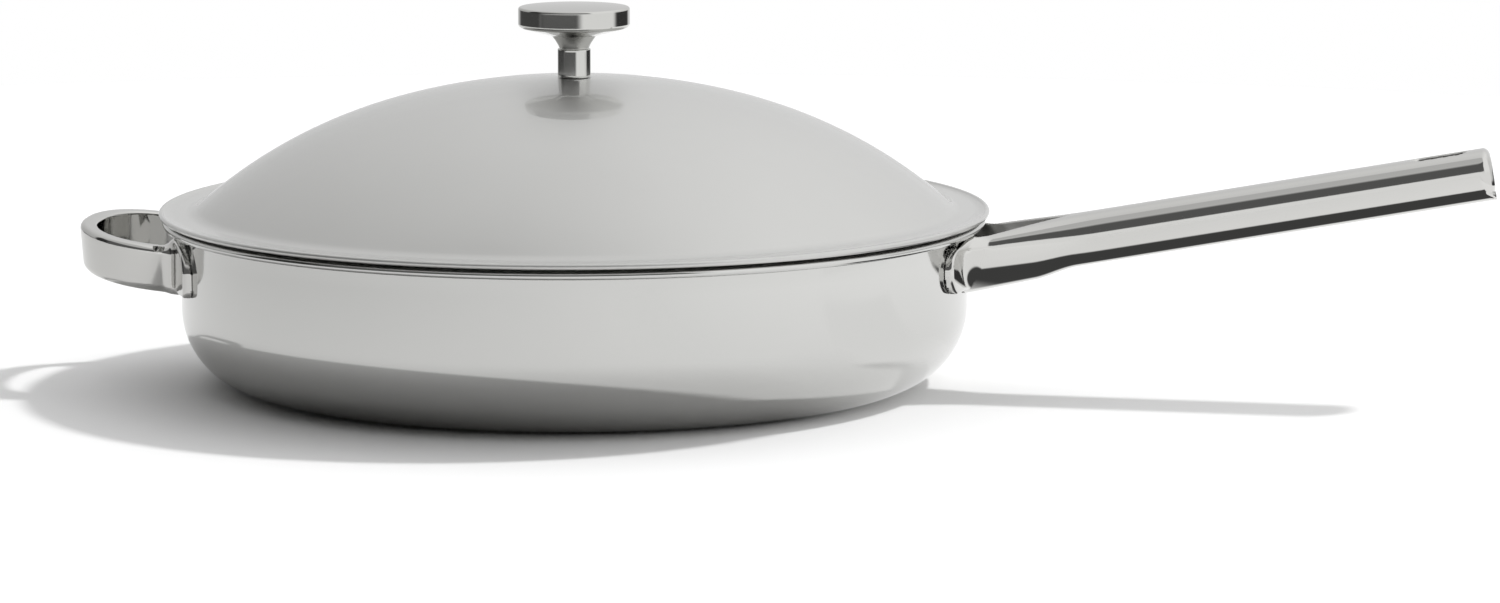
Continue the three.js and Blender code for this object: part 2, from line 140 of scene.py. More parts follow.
def blend(tree: Tree, share: Socket, first: Any, second: Any) -> Socket:
    """Adds a mix of two colours by a share of the second."""
    node = add_node(tree, "ShaderNodeMix", {"Factor": share, 6: first, 7: second}, data_type="RGBA")
    return node.outputs[2]


def map_range(tree: Tree, value: Socket, source: Point, target: Point, smooth: bool = False) -> Socket:
    """Adds a map from one range to another, held at both ends.

    Args:
        tree: The node tree.
        value: What is mapped.
        source: The range that it comes from.
        target: The range that it goes to.
        smooth: Whether it eases in and out.

    Returns:
        The mapped value.
    """
    return feed(tree, "ShaderNodeMapRange", {
        "Value": value,
        "From Min": source[0],
        "From Max": source[1],
        "To Min": target[0],
        "To Max": target[1],
    }, interpolation_type="SMOOTHSTEP" if smooth else "LINEAR")


def soft_step(tree: Tree, value: Socket, edge: float, soft: float) -> Socket:
    """Adds a step from 0 to 1 that spreads to both sides of an edge; a negative spread makes it fall."""
    return map_range(tree, value, (edge - soft, edge + soft), (0.0, 1.0), smooth=True)


def noise(tree: Tree, place: Socket, width: float, detail: float) -> Socket:
    """Adds noise whose grains are about a width in millimetres across."""
    scale = 1 / (width * MM)
    return feed(tree, "ShaderNodeTexNoise", {"Vector": place, "Scale": scale, "Detail": detail})


def bump(tree: Tree, height: Socket, depth: float, strength: float, over: Socket | None = None) -> Socket:
    """Adds relief.

    Args:
        tree: The node tree.
        height: The relief's height from 0 to 1.
        depth: What that height stands for in millimetres.
        strength: How much of it shows.
        over: The normal of other relief that it lies on.

    Returns:
        The bent normal.
    """
    inputs = {"Height": height, "Distance": depth * MM, "Strength": strength}
    if over is not None:
        inputs["Normal"] = over
    return feed(tree, "ShaderNodeBump", inputs)


def flattened(tree: Tree, place: Socket) -> tuple[Socket, Socket]:
    """Splits off a place's part square to the Z axis.

    Args:
        tree: The node tree.
        place: The place.

    Returns:
        That part, and its length.
    """
    flat = feed(tree, "ShaderNodeVectorMath", {0: place, 1: (1.0, 1.0, 0.0)}, operation="MULTIPLY")
    length = add_node(tree, "ShaderNodeVectorMath", {0: flat}, operation="LENGTH")
    return flat, length.outputs["Value"]


def new_material(name: str) -> tuple[Material, Tree]:
    """Makes a material whose node tree is empty.

    Args:
        name: The material's name.

    Returns:
        The material and its tree.
    """
    material = bpy.data.materials.new(name)
    material.use_nodes = True
    material.node_tree.nodes.clear()
    return material, material.node_tree


def arc(centre: Point, radius: float, start: float, end: float, steps: int) -> list[Point]:
    """Points along an arc between two angles in degrees, both ends included."""
    angles = [math.radians(start + (end - start) * k / steps) for k in range(steps + 1)]
    return [(centre[0] + radius * math.cos(a), centre[1] + radius * math.sin(a)) for a in angles]


def dense(points: Sequence[Point], longest: float) -> list[Point]:
    """Splits the long chords of a profile so that a revolved wall has even faces.

    Args:
        points: The profile.
        longest: Longest chord that stays whole.

    Returns:
        The profile with points added.
    """
    result = [points[0]]
    for (r0, z0), (r1, z1) in zip(points, points[1:]):
        parts = max(1, math.ceil(math.hypot(r1 - r0, z1 - z0) / longest))
        result += [(r0 + (r1 - r0) * k / parts, z0 + (z1 - z0) * k / parts) for k in range(1, parts + 1)]
    return result


def piece_from(name: str, vertices: np.ndarray, faces: Sequence[Sequence[int]]) -> Piece:
    """Makes a smooth-shaded object at the origin from millimetre vertices.

    Args:
        name: The piece's name.
        vertices: Places in millimetres.
        faces: Vertex numbers of each face, turning outwards.

    Returns:
        The linked object.
    """
    mesh = bpy.data.meshes.new(name)
    mesh.from_pydata((np.asarray(vertices) * MM).tolist(), [], faces)
    mesh.shade_smooth()
    mesh.update()
    piece = bpy.data.objects.new(name, mesh)
    bpy.context.scene.collection.objects.link(piece)
    return piece


def lathe(name: str, profile: Sequence[Point], segments: int, closed: bool = False) -> Piece:
    """Turns a profile about the Z axis.

    Args:
        name: The piece's name.
        profile: Radius and height points, run so that the outside is on their right.
        segments: Faces around the turn.
        closed: Whether the last point joins the first; otherwise both lie on the axis.

    Returns:
        The turned piece.
    """
    vertices: list[tuple[float, float, float]] = []
    rings: list[list[int]] = []
    turns = [2 * math.pi * k / segments for k in range(segments)]
    for radius, height in profile:
        first = len(vertices)
        if radius < ON_AXIS:
            vertices.append((0.0, 0.0, height))
            rings.append([first] * segments)
        else:
            vertices += [(radius * math.cos(t), radius * math.sin(t), height) for t in turns]
            rings.append(list(range(first, first + segments)))
    pairs = list(zip(rings, rings[1:]))
    if closed:
        pairs.append((rings[-1], rings[0]))
    faces = []
    for low, high in pairs:
        for k in range(segments):
            m = (k + 1) % segments
            corners = [low[k], low[m], high[m], high[k]]
            faces.append(list(dict.fromkeys(corners)))
    return piece_from(name, np.array(vertices), faces)


def dress(piece: Piece, material: Material, body: Body, slot: str, *nodes: str) -> None:
    """Gives a piece its finish, its body and the CAD nodes that it stands for.

    Args:
        piece: The finished piece.
        material: Its finish.
        body: The body that it moves with.
        slot: The record's material slot; not used.
        *nodes: CAD nodes that it replaces.
    """
    piece.data.materials.clear()
    piece.data.materials.append(material)
    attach(piece, body.value)
    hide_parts(*nodes)
    LOG.info("%s: %d faces, rides on %s", piece.name, len(piece.data.polygons), body.value)


# Solids described by a distance field, for castings whose faces melt into each other


def round_join(first: np.ndarray, second: np.ndarray, radius: float | np.ndarray) -> np.ndarray:
    """Joins two fields with a concave fillet of a radius."""
    corner = np.hypot(np.maximum(radius - first, 0), np.maximum(radius - second, 0))
    return np.maximum(radius, np.minimum(first, second)) - corner


def round_meet(first: np.ndarray, second: np.ndarray, radius: float | np.ndarray) -> np.ndarray:
    """Keeps what lies in both fields, with the edge rounded to a radius."""
    corner = np.hypot(np.maximum(radius + first, 0), np.maximum(radius + second, 0))
    return np.minimum(-radius, np.maximum(first, second)) + corner


def rounded_box(across: np.ndarray, up: np.ndarray, width: float, height: float,
                radius: float | np.ndarray) -> np.ndarray:
    """Distance to a rounded rectangle centred at zero.

    Args:
        across: Places across the rectangle.
        up: Places up the rectangle.
        width: Its full width.
        height: Its full height.
        radius: Its corner radius, one value or one for each place.

    Returns:
        The signed distances, negative inside.
    """
    side = np.abs(across) - (width / 2 - radius)
    rise = np.abs(up) - (height / 2 - radius)
    outside = np.hypot(np.maximum(side, 0), np.maximum(rise, 0))
    return outside + np.minimum(np.maximum(side, rise), 0) - radius


def slope_of(distance: Field, places: np.ndarray, step: float = SLOPE_STEP) -> np.ndarray:
    """Gradient of a field by central differences.

    Args:
        distance: The field.
        places: Rows of points.
        step: Half the distance between the samples.

    Returns:
        One gradient row for each point.
    """
    columns = []
    for axis in range(3):
        offset = np.zeros(3)
        offset[axis] = step
        columns.append((distance(places + offset) - distance(places - offset)) / (2 * step))
    return np.stack(columns, axis=1)


def true_distance(value: Field, places: np.ndarray) -> np.ndarray:
    """Scales a field by its own slope so that it reads as a distance near its surface."""
    slope = np.linalg.norm(slope_of(value, places, SCALE_STEP), axis=1)
    return value(places) / np.maximum(slope, LEAST_SLOPE)


def padded_box(node: str, margin: float) -> tuple[np.ndarray, np.ndarray]:
    """Box of a CAD node in millimetres, with a margin all round."""
    low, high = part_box(node)
    return np.array(low) / MM - margin, np.array(high) / MM + margin


@dataclass
class CastSolid:
    """Meshes a distance field with one vertex for each crossed cell, set on the surface."""

    name: str
    distance: Field
    low: Sequence[float]
    high: Sequence[float]
    cell: float
    settle_steps: int = 5
    longest_move: float = 0.5

    def grid(self) -> tuple[np.ndarray, np.ndarray]:
        """Samples the field.

        Returns:
            The lowest corner and the field's values at the grid points.
        """
        low = np.array(self.low)
        counts = np.ceil((np.array(self.high) - low) / self.cell).astype(int) + 1
        axes = [low[k] + self.cell * np.arange(counts[k]) for k in range(3)]
        values = np.empty(counts)
        for row, x in enumerate(axes[0]):
            y, z = np.meshgrid(axes[1], axes[2], indexing="ij")
            places = np.stack([np.full(y.size, x), y.ravel(), z.ravel()], axis=1)
            values[row] = self.distance(places).reshape(y.shape)
        return low, values

    def crossed_cells(self, values: np.ndarray) -> tuple[np.ndarray, np.ndarray]:
        """Finds the cells that the surface crosses and a first place in each.

        Args:
            values: Field values at the grid points.

        Returns:
            The vertex number of each cell, or -1, and the vertices' places in cell units.
        """
        inside = values < 0
        corners = [np.array([(k >> 2) & 1, (k >> 1) & 1, k & 1]) for k in range(8)]
        size = np.array(values.shape) - 1
        count = np.zeros(size, dtype=int)
        for corner in corners:
            part = tuple(slice(c, c + s) for c, s in zip(corner, size))
            count += inside[part]
        mixed = (count > 0) & (count < 8)
        table = np.full(size, -1)
        table[mixed] = np.arange(mixed.sum())
        cells = np.argwhere(mixed)
        total = np.zeros((len(cells), 3))
        hits = np.zeros(len(cells))
        for first in corners:
            for axis in range(3):
                if first[axis]:
                    continue
                second = first.copy()
                second[axis] = 1
                start = values[tuple((cells + first).T)]
                end = values[tuple((cells + second).T)]
                crossing = (start < 0) != (end < 0)
                share = np.where(crossing, start / np.where(crossing, start - end, 1), 0)
                spot = first + share[:, None] * (second - first)
                total += np.where(crossing[:, None], spot, 0)
                hits += crossing
        return table, cells + total / hits[:, None]

    def quads(self, values: np.ndarray, table: np.ndarray) -> np.ndarray:
        """Joins the four cells around each crossed grid edge.

        Args:
            values: Field values at the grid points.
            table: Vertex number of each cell.

        Returns:
            Rows of four vertex numbers, turning outwards.
        """
        inside = values < 0
        found = []
        for axis in range(3):
            left, right = (axis + 1) % 3, (axis + 2) % 3
            size = values.shape[axis]
            before = np.take(inside, range(size - 1), axis=axis)
            after = np.take(inside, range(1, size), axis=axis)
            edges = np.argwhere(before != after)
            ring = []
            for shift_left, shift_right in ((0, 0), (-1, 0), (-1, -1), (0, -1)):
                cell = edges.copy()
                cell[:, left] += shift_left
                cell[:, right] += shift_right
                ring.append(table[tuple(cell.T)])
            rows = np.stack(ring, axis=1)
            outward = before[tuple(edges.T)]
            found.append(np.where(outward[:, None], rows, rows[:, ::-1]))
        return np.concatenate(found)

    def build(self) -> Piece:
        """Makes the piece, with normals read from the field itself.

        Returns:
            The linked object.
        """
        low, values = self.grid()
        table, spots = self.crossed_cells(values)
        places = low + self.cell * spots
        for _ in range(self.settle_steps):
            slope = slope_of(self.distance, places)
            steep = np.maximum((slope ** 2).sum(1), LEAST_STEEP)
            move = (self.distance(places) / steep)[:, None] * slope
            reach = np.maximum(np.linalg.norm(move, axis=1, keepdims=True), LEAST_LENGTH)
            places = places - move * np.minimum(1, self.longest_move * self.cell / reach)
        piece = piece_from(self.name, places, self.quads(values, table).tolist())
        normals = slope_of(self.distance, places)
        normals /= np.maximum(np.linalg.norm(normals, axis=1, keepdims=True), LEAST_LENGTH)
        piece.data.normals_split_custom_set_from_vertices(normals.tolist())
        return piece


# Finishes


@dataclass(frozen=True)
class PolishedSteel:
    """Stainless steel, ground and buffed: a clear mirror with a faint haze and the trace of the wheel.

    The buffing leaves fine lines, a little uneven haze and a very slow waviness in the reflections.
    Lustre lays a sharp gloss over a hazier buffing. A recess that the wheel can't reach stays hazier.
    """

    name: str
    colour: str
    dull_colour: str
    roughness: float
    haze: float
    lines: Lines
    line_width: float = 0.35
    line_depth: float = 0.0004
    line_stretch: float = 0.02
    line_detail: float = 3.0
    wave_length: float = 30.0
    wave_depth: float = 0.01
    wave_detail: float = 1.0
    haze_detail: float = 4.0
    haze_range: Point = (0.3, 0.7)
    lustre: float = 0.0
    lustre_roughness: float = 0.03
    recess_haze: float = 0.0

    def line_place(self, tree: Tree, place: Socket) -> Socket:
        """Adds the coordinates that the polishing lines follow.

        Args:
            tree: The material's node tree.
            place: Object coordinates.

        Returns:
            A vector socket, stretched along the lines.
        """
        if self.lines is Lines.LENGTHWISE:
            scale = (self.line_stretch, 1.0, 1.0)
            return feed(tree, "ShaderNodeMapping", {"Vector": place, "Scale": scale})
        height = add_node(tree, "ShaderNodeSeparateXYZ", {"Vector": place}).outputs["Z"]
        _, radius = flattened(tree, place)
        return feed(tree, "ShaderNodeCombineXYZ", {"X": radius, "Z": height})

    def material(self) -> Material:
        """Builds the finish.

        Returns:
            A material that reads Object coordinates.
        """
        material, tree = new_material(self.name)
        place = add_node(tree, "ShaderNodeTexCoord").outputs["Object"]
        lines = noise(tree, self.line_place(tree, place), self.line_width, self.line_detail)
        haze = noise(tree, place, 2 * self.wave_length, self.haze_detail)
        waves = noise(tree, place, self.wave_length, self.wave_detail)
        gloss = map_range(tree, haze, self.haze_range, (self.roughness, self.roughness + self.haze))
        recess = add_node(tree, "ShaderNodeAttribute", attribute_name="recess").outputs["Fac"]
        ripple = bump(tree, waves, self.wave_depth, 1.0)
        shader = feed(tree, "ShaderNodeBsdfPrincipled", {
            "Base Color": blend(tree, haze, linear(self.colour), linear(self.dull_colour)),
            "Metallic": 1.0,
            "Roughness": calc(tree, "MULTIPLY_ADD", recess, self.recess_haze, gloss),
            "Normal": bump(tree, lines, self.line_depth, 1.0, over=ripple),
            "Coat Weight": self.lustre,
            "Coat Roughness": self.lustre_roughness,
        })
        add_node(tree, "ShaderNodeOutputMaterial", {"Surface": shader})
        return material


@dataclass(frozen=True)
class MouldedSilicone:
    """Black silicone rubber, press-moulded: matt, with a fine grain from the tool."""

    name: str = "Silicone rubber, moulded"
    colour: str = "#1E1F20"
    bloom_colour: str = "#2E2F30"
    roughness: float = 0.62
    grain_width: float = 0.3
    grain_depth: float = 0.02
    grain_strength: float = 0.6
    grain_detail: float = 2.0
    refraction: float = 1.41

    def material(self) -> Material:
        """Builds the finish.

        Returns:
            A material that reads Object coordinates.
        """
        material, tree = new_material(self.name)
        place = add_node(tree, "ShaderNodeTexCoord").outputs["Object"]
        grain = noise(tree, place, self.grain_width, self.grain_detail)
        shader = feed(tree, "ShaderNodeBsdfPrincipled", {
            "Base Color": blend(tree, grain, linear(self.colour), linear(self.bloom_colour)),
            "Roughness": self.roughness,
            "IOR": self.refraction,
            "Normal": bump(tree, grain, self.grain_depth, self.grain_strength),
        })
        add_node(tree, "ShaderNodeOutputMaterial", {"Surface": shader})
        return material


DRAWN_STEEL = PolishedSteel(
    "Stainless sheet, drawn and mirror-polished", "#CBCBC9", "#C7C7C5", 0.06, 0.02, Lines.ROUND)
PRESSED_STEEL = PolishedSteel(
    "Stainless sheet, pressed and buffed", "#CBCBC9", "#C8C8C6", 0.42, 0.03, Lines.ROUND, lustre=1.0)
CAST_STEEL = PolishedSteel(
    "Stainless casting, mirror-polished", "#CDCCCA", "#C8C8C5", 0.05, 0.02, Lines.LENGTHWISE,
    recess_haze=0.35)
TURNED_STEEL = PolishedSteel(
    "Stainless bar, turned and polished", "#CBCBC8", "#C4C4C1", 0.03, 0.02, Lines.ROUND)
SATIN_STEEL = PolishedSteel(
    "Stainless strip, satin-ground", "#BDBDBB", "#B4B4B2", 0.26, 0.05, Lines.ROUND,
    line_width=0.5, line_depth=0.002)
RIVET_STEEL = PolishedSteel(
    "Stainless rivet wire, headed and buffed", "#C0C0BE", "#B8B8B6", 0.18, 0.05, Lines.ROUND)
HARDWARE_STEEL = PolishedSteel(
    "Stainless hardware, bright as rolled", "#B6B6B5", "#ABABAA", 0.22, 0.06, Lines.ROUND)
SILICONE = MouldedSilicone()


# Pan body and rivets


@dataclass
class PanBody:
    """Drawn pan: flat base, rounded corner, upright wall and a lip turned outwards."""

    wall_radius: float = 142.0
    height: float = 61.5
    corner_radius: float = 28.0
    sheet: float = 2.6
    lip_bend: float = 2.4
    lip_turn: float = 140.0
    segments: int = 288
    longest_face: float = 6.0
    corner_steps: int = 28
    bend_steps: int = 16
    edge_steps: int = 12
    crest_steps: int = 24

    @property
    def inside_radius(self) -> float:
        """Radius of the wall's inside."""
        return self.wall_radius - self.sheet

    @property
    def lip_centre(self) -> Point:
        """Centre of the lip's bend."""
        return (self.wall_radius + self.lip_bend, self.height - self.lip_bend - self.sheet)

    def profile(self) -> list[Point]:
        """Outline of the sheet.

        Returns:
            Points from the middle of the base, round the lip and back to the middle of the floor.
        """
        corner = (self.wall_radius - self.corner_radius, self.corner_radius)
        lip = self.lip_centre
        end = 180.0 - self.lip_turn
        half = self.sheet / 2
        middle = self.lip_bend + half
        tip = (lip[0] + middle * math.cos(math.radians(end)), lip[1] + middle * math.sin(math.radians(end)))
        corner_out = arc(corner, self.corner_radius, -90, 0, self.corner_steps)
        bend = arc(lip, self.lip_bend, 180, end, self.bend_steps)
        edge = arc(tip, half, end - 180, end, self.edge_steps)
        crest = arc(lip, self.lip_bend + self.sheet, end, 180, self.crest_steps)
        corner_in = arc(corner, self.corner_radius - self.sheet, 0, -90, self.corner_steps)
        whole = [(0.0, 0.0)] + corner_out + bend + edge[1:-1] + crest + corner_in + [(0.0, self.sheet)]
        return dense(whole, self.longest_face)

    def build(self, finish: PolishedSteel) -> None:
        """Makes and dresses the pan."""
        piece = lathe("pan_body", self.profile(), self.segments)
        dress(piece, finish.material(), Body.PAN, "polished_steel", "pan_shell")


@dataclass
class RivetHeads:
    """Low domed heads inside the pan, one for each rivet of the two handles."""

    wall: PanBody
    head_diameter: float = 11.0
    head_height: float = 2.1
    skirt_depth: float = 0.6
    head_fullness: float = 2.4
    head_segments: int = 48
    head_rings: int = 32
    handle_spread: float = 30.0
    handle_height: float = 46.5
    lower_height: float = 41.5
    loop_spread: float = 52.5
    loop_height: float = 45.0
    nodes: tuple[str, ...] = ("handle_rivet_left", "handle_rivet_right", "handle_rivet_lower",
                              "loop_rivet_left", "loop_rivet_right")

    def places(self) -> tuple[list[Vector], list[Vector]]:
        """Works out where the heads sit.

        Returns:
            Places on the wall's inside in metres, and the directions into the pan.
        """
        rows = [(1, s, self.handle_height) for s in (self.handle_spread, -self.handle_spread)]
        rows.append((1, 0.0, self.lower_height))
        rows += [(-1, s, self.loop_height) for s in (self.loop_spread, -self.loop_spread)]
        seats = []
        inwards = []
        for side, spread, height in rows:
            angle = math.asin(spread / self.wall.wall_radius)
            out = Vector((side * math.cos(angle), math.sin(angle), 0.0))
            seats.append((out * self.wall.inside_radius + Vector((0, 0, height))) * MM)
            inwards.append(-out)
        return seats, inwards

    def tree(self, material: Material) -> bpy.types.GeometryNodeTree:
        """Builds the node tree that sets one domed head on each point.

        Args:
            material: The heads' finish.

        Returns:
            The tree, with named inputs for the head's sizes.
        """
        tree = bpy.data.node_groups.new("rivet_heads", "GeometryNodeTree")
        tree.interface.new_socket("Geometry", in_out="INPUT", socket_type="NodeSocketGeometry")
        for label in ("Head Diameter", "Head Height", "Skirt Depth", "Fullness"):
            tree.interface.new_socket(label, in_out="INPUT", socket_type="NodeSocketFloat")
        tree.interface.new_socket("Geometry", in_out="OUTPUT", socket_type="NodeSocketGeometry")
        start = add_node(tree, "NodeGroupInput").outputs
        ball = feed(tree, "GeometryNodeMeshUVSphere", {
            "Segments": self.head_segments,
            "Rings": self.head_rings,
            "Radius": 1.0,
        })
        place = feed(tree, "GeometryNodeInputPosition")
        ball_height = add_node(tree, "ShaderNodeSeparateXYZ", {"Vector": place}).outputs["Z"]
        flat, rim = flattened(tree, place)
        rest = calc(tree, "SUBTRACT", 1.0, calc(tree, "POWER", rim, start["Fullness"]), use_clamp=True)
        dome = calc(tree, "POWER", rest, calc(tree, "DIVIDE", 1.0, start["Fullness"]))
        depth = feed(tree, "ShaderNodeMix", {
            "Factor": calc(tree, "GREATER_THAN", ball_height, 0.0),
            2: calc(tree, "MULTIPLY", start["Skirt Depth"], -1.0),
            3: start["Head Height"],
        }, data_type="FLOAT")
        lifted = feed(tree, "ShaderNodeCombineXYZ", {"Z": calc(tree, "MULTIPLY", dome, depth)})
        reach = calc(tree, "MULTIPLY", start["Head Diameter"], 0.5)
        wide = feed(tree, "ShaderNodeVectorMath", {0: flat, "Scale": reach}, operation="SCALE")
        shaped = feed(tree, "ShaderNodeVectorMath", {0: wide, 1: lifted}, operation="ADD")
        head = feed(tree, "GeometryNodeSetPosition", {"Geometry": ball, "Position": shaped})
        inward = feed(tree, "GeometryNodeInputNamedAttribute", {"Name": "inward"}, data_type="FLOAT_VECTOR")
        turn = feed(tree, "FunctionNodeAlignEulerToVector", {"Vector": inward}, axis="Z")
        spots = feed(tree, "GeometryNodeMeshToPoints", {"Mesh": start["Geometry"]})
        heads = feed(tree, "GeometryNodeInstanceOnPoints", {
            "Points": spots,
            "Instance": head,
            "Rotation": turn,
        })
        for kind in ("GeometryNodeRealizeInstances", "GeometryNodeSetShadeSmooth"):
            heads = feed(tree, kind, {"Geometry": heads})
        heads = feed(tree, "GeometryNodeSetMaterial", {"Geometry": heads, "Material": material})
        add_node(tree, "NodeGroupOutput", {"Geometry": heads})
        return tree

    def build(self, finish: PolishedSteel) -> None:
        """Makes and dresses the five heads as one piece.

        Args:
            finish: The heads' finish.
        """
        material = finish.material()
        seats, inwards = self.places()
        mesh = bpy.data.meshes.new("rivet_seats")
        mesh.from_pydata([tuple(s) for s in seats], [], [])
        layer = mesh.attributes.new("inward", "FLOAT_VECTOR", "POINT")
        layer.data.foreach_set("vector", [value for row in inwards for value in row])
        seed = bpy.data.objects.new("rivet_seats", mesh)
        bpy.context.scene.collection.objects.link(seed)
        modifier = seed.modifiers.new("heads", "NODES")
        modifier.node_group = self.tree(material)
        sizes = {
            "Head Diameter": self.head_diameter * MM,
            "Head Height": self.head_height * MM,
            "Skirt Depth": self.skirt_depth * MM,
            "Fullness": self.head_fullness,
        }
        for item in modifier.node_group.interface.items_tree:
            if item.in_out == "INPUT" and item.name in sizes:
                modifier[item.identifier] = sizes[item.name]
        evaluated = seed.evaluated_get(bpy.context.evaluated_depsgraph_get())
        whole = bpy.data.meshes.new_from_object(evaluated)
        bpy.data.objects.remove(seed)
        piece = bpy.data.objects.new("rivet_heads", whole)
        bpy.context.scene.collection.objects.link(piece)
        dress(piece, material, Body.PAN, "rivet_steel", *self.nodes)


# Castings


@dataclass
class Foot:
    """Curved plate of a casting that lies on the pan's wall."""

    centre: float
    width: float
    height: float
    low_edge: float
    top_corner: float = 6.0
    low_corner: float = 6.0
    seat_radius: float = 142.05
    thickness: float = 3.0
    edge: float = 1.1

    def distance(self, places: np.ndarray) -> np.ndarray:
        """Field of the plate's face and outline; the pan's wall bounds its back.

        Args:
            places: Rows of points.

        Returns:
            The signed distances, negative inside.
        """
        x, y, z = places.T
        face = np.hypot(x, y) - self.seat_radius - self.thickness
        up = z - self.low_edge - self.height / 2
        corner = np.where(up > 0, self.top_corner, self.low_corner)
        outline = rounded_box(y - self.centre, up, self.width, self.height, corner)
        return round_meet(face, outline, self.edge)


@dataclass
class LongHandle:
    """Hollow casting: oval grip, root flared to the pan, teardrop scoop, hanging slot and vent."""

    wall_radius: float = 142.0
    length: float = 190.6
    rise: float = 10.0
    axis_height: float = 46.9
    width: float = 22.0
    height: float = 18.4
    squareness: float = 2.9
    root_top_squareness: float = 6.0
    root_low_squareness: float = 2.2
    flare_length: float = 45.0
    root_top_width: float = 47.0
    root_low_width: float = 43.0
    flare_curve: float = 1.25
    flare_ease: float = 0.15
    root_drop: float = 3.2
    drop_fade: float = 0.04
    drop_end: float = 40.0
    drop_blend: float = 16.0
    scoop_length: float = 38.5
    scoop_width: float = 45.0
    scoop_depth: float = 11.0
    scoop_fullness: float = 2.5
    scoop_edge: float = 0.8
    least_taper: float = 1e-3
    widest_share: float = 2.0
    slot_length: float = 19.0
    slot_width: float = 7.0
    slot_margin: float = 8.6
    slot_edge: float = 0.9
    tip_top: float = 2.6
    tip_side: float = 5.0
    tip_low: float = 0.6
    tip_levels: tuple[float, ...] = (-0.95, -0.6, 0.5, 1.0)
    vent_diameter: float = 3.0
    vent_along: float = 48.9
    vent_edge: float = 0.3
    top_fillet: float = 9.0
    low_fillet: float = 1.0
    fillet_levels: Point = (-1.0, 0.5)
    recess_margin: float = 0.2
    grid_margin: float = 2.0
    foot: Foot = field(default_factory=lambda: Foot(
        centre=0.0, width=75.0, height=16.5, low_edge=37.8, top_corner=7.8, low_corner=7.8))
    cell: float = 0.75

    def along_and_up(self, places: np.ndarray) -> tuple[np.ndarray, np.ndarray]:
        """Turns places into the handle's own directions.

        Args:
            places: Rows of points.

        Returns:
            Distances along the rising axis, and above it.
        """
        tilt = math.radians(self.rise)
        out = places[:, 0] - self.wall_radius
        up = places[:, 2] - self.axis_height
        return out * math.cos(tilt) + up * math.sin(tilt), up * math.cos(tilt) - out * math.sin(tilt)

    def flare(self, along: np.ndarray) -> np.ndarray:
        """Share of the root's flare, from 1 at the pan to 0 on the grip."""
        share = np.minimum(1 - along / self.flare_length, 1)
        return ((share + np.hypot(share, self.flare_ease)) / 2) ** self.flare_curve

    def lower_half(self, along: np.ndarray) -> np.ndarray:
        """Depth of the section below the axis.

        Args:
            along: Distances along the axis.

        Returns:
            One depth for each.
        """
        share = np.clip((self.drop_end - along) / self.drop_blend, 0, 1)
        drop = self.root_drop - self.drop_fade * np.maximum(along, 0)
        return self.height / 2 + drop * share ** 2 * (3 - 2 * share)

    def bar_value(self, places: np.ndarray) -> np.ndarray:
        """Field of the grip and its flare.

        Args:
            places: Rows of points.

        Returns:
            Values below zero inside, not yet distances.
        """
        along, up = self.along_and_up(places)
        flare = self.flare(along)
        share = np.where(up > 0, 2 * up / self.height, up / self.lower_half(along))
        top_width = self.width + (self.root_top_width - self.width) * flare
        low_width = self.width + (self.root_low_width - self.width) * flare
        width = low_width + (top_width - low_width) * np.clip((share + 1) / 2, 0, 1)
        root_power = np.where(up > 0, self.root_top_squareness, self.root_low_squareness)
        power = self.squareness + (root_power - self.squareness) * flare
        ring = np.abs(2 * places[:, 1] / width) ** power + np.abs(share) ** power
        return ring ** (1 / power) - 1

    def scoop_distance(self, along: np.ndarray, across: np.ndarray, up: np.ndarray) -> np.ndarray:
        """Field of the teardrop scoop, measured square to the grip.

        Args:
            along: Distances along the axis.
            across: Distances to the side.
            up: Distances above the axis.

        Returns:
            The signed distances, negative inside.
        """
        taper = np.clip(1 - along / self.scoop_length, self.least_taper, 1)
        half = self.scoop_width / 2 * taper
        depth = self.scoop_depth * np.sqrt(taper)
        share = np.minimum(np.abs(across) / half, self.widest_share)
        floor = self.height / 2 - depth * (1 - share ** self.scoop_fullness)
        slope = self.scoop_fullness * depth / half * share ** (self.scoop_fullness - 1)
        beside = np.maximum(np.abs(across) - half, along - self.scoop_length)
        below = np.maximum((floor - up) / np.hypot(1, slope), self.height / 2 - depth - up)
        return np.maximum(below, beside)

    def distance(self, places: np.ndarray) -> np.ndarray:
        """Field of the whole casting.

        Args:
            places: Rows of points.

        Returns:
            The signed distances, negative inside.
        """
        along, up = self.along_and_up(places)
        level = 2 * up / self.height
        tip = np.interp(level, self.tip_levels, (self.tip_low, self.tip_side, self.tip_side, self.tip_top))
        bar = round_meet(true_distance(self.bar_value, places), along - self.length, tip)
        crease = np.interp(level, self.fillet_levels, (self.low_fillet, self.top_fillet))
        whole = round_join(bar, self.foot.distance(places), crease)
        whole = round_meet(whole, -self.scoop_distance(along, places[:, 1], up), self.scoop_edge)
        slot_centre = self.length - self.slot_margin - self.slot_length / 2
        slot = rounded_box(along - slot_centre, places[:, 1], self.slot_length, self.slot_width,
                           self.slot_width / 2)
        whole = round_meet(whole, -slot, self.slot_edge)
        vent = np.hypot(along - self.vent_along, places[:, 1]) - self.vent_diameter / 2
        vent = np.maximum(vent, up + self.height / 4)
        whole = round_meet(whole, -vent, self.vent_edge)
        radius = np.hypot(places[:, 0], places[:, 1])
        return np.maximum(whole, self.foot.seat_radius - radius)

    def build(self, finish: PolishedSteel) -> None:
        """Makes and dresses the handle.

        Args:
            finish: The casting's finish.
        """
        low, high = padded_box("long_handle", self.grid_margin)
        piece = CastSolid("handle_casting", self.distance, low, high, self.cell).build()
        places = np.array([tuple(v.co) for v in piece.data.vertices]) / MM
        along, up = self.along_and_up(places)
        recess = self.scoop_distance(along, places[:, 1], up) < self.recess_margin
        layer = piece.data.attributes.new("recess", "FLOAT", "POINT")
        layer.data.foreach_set("value", recess.astype(np.float32))
        dress(piece, finish.material(), Body.PAN, "cast_steel", "long_handle")


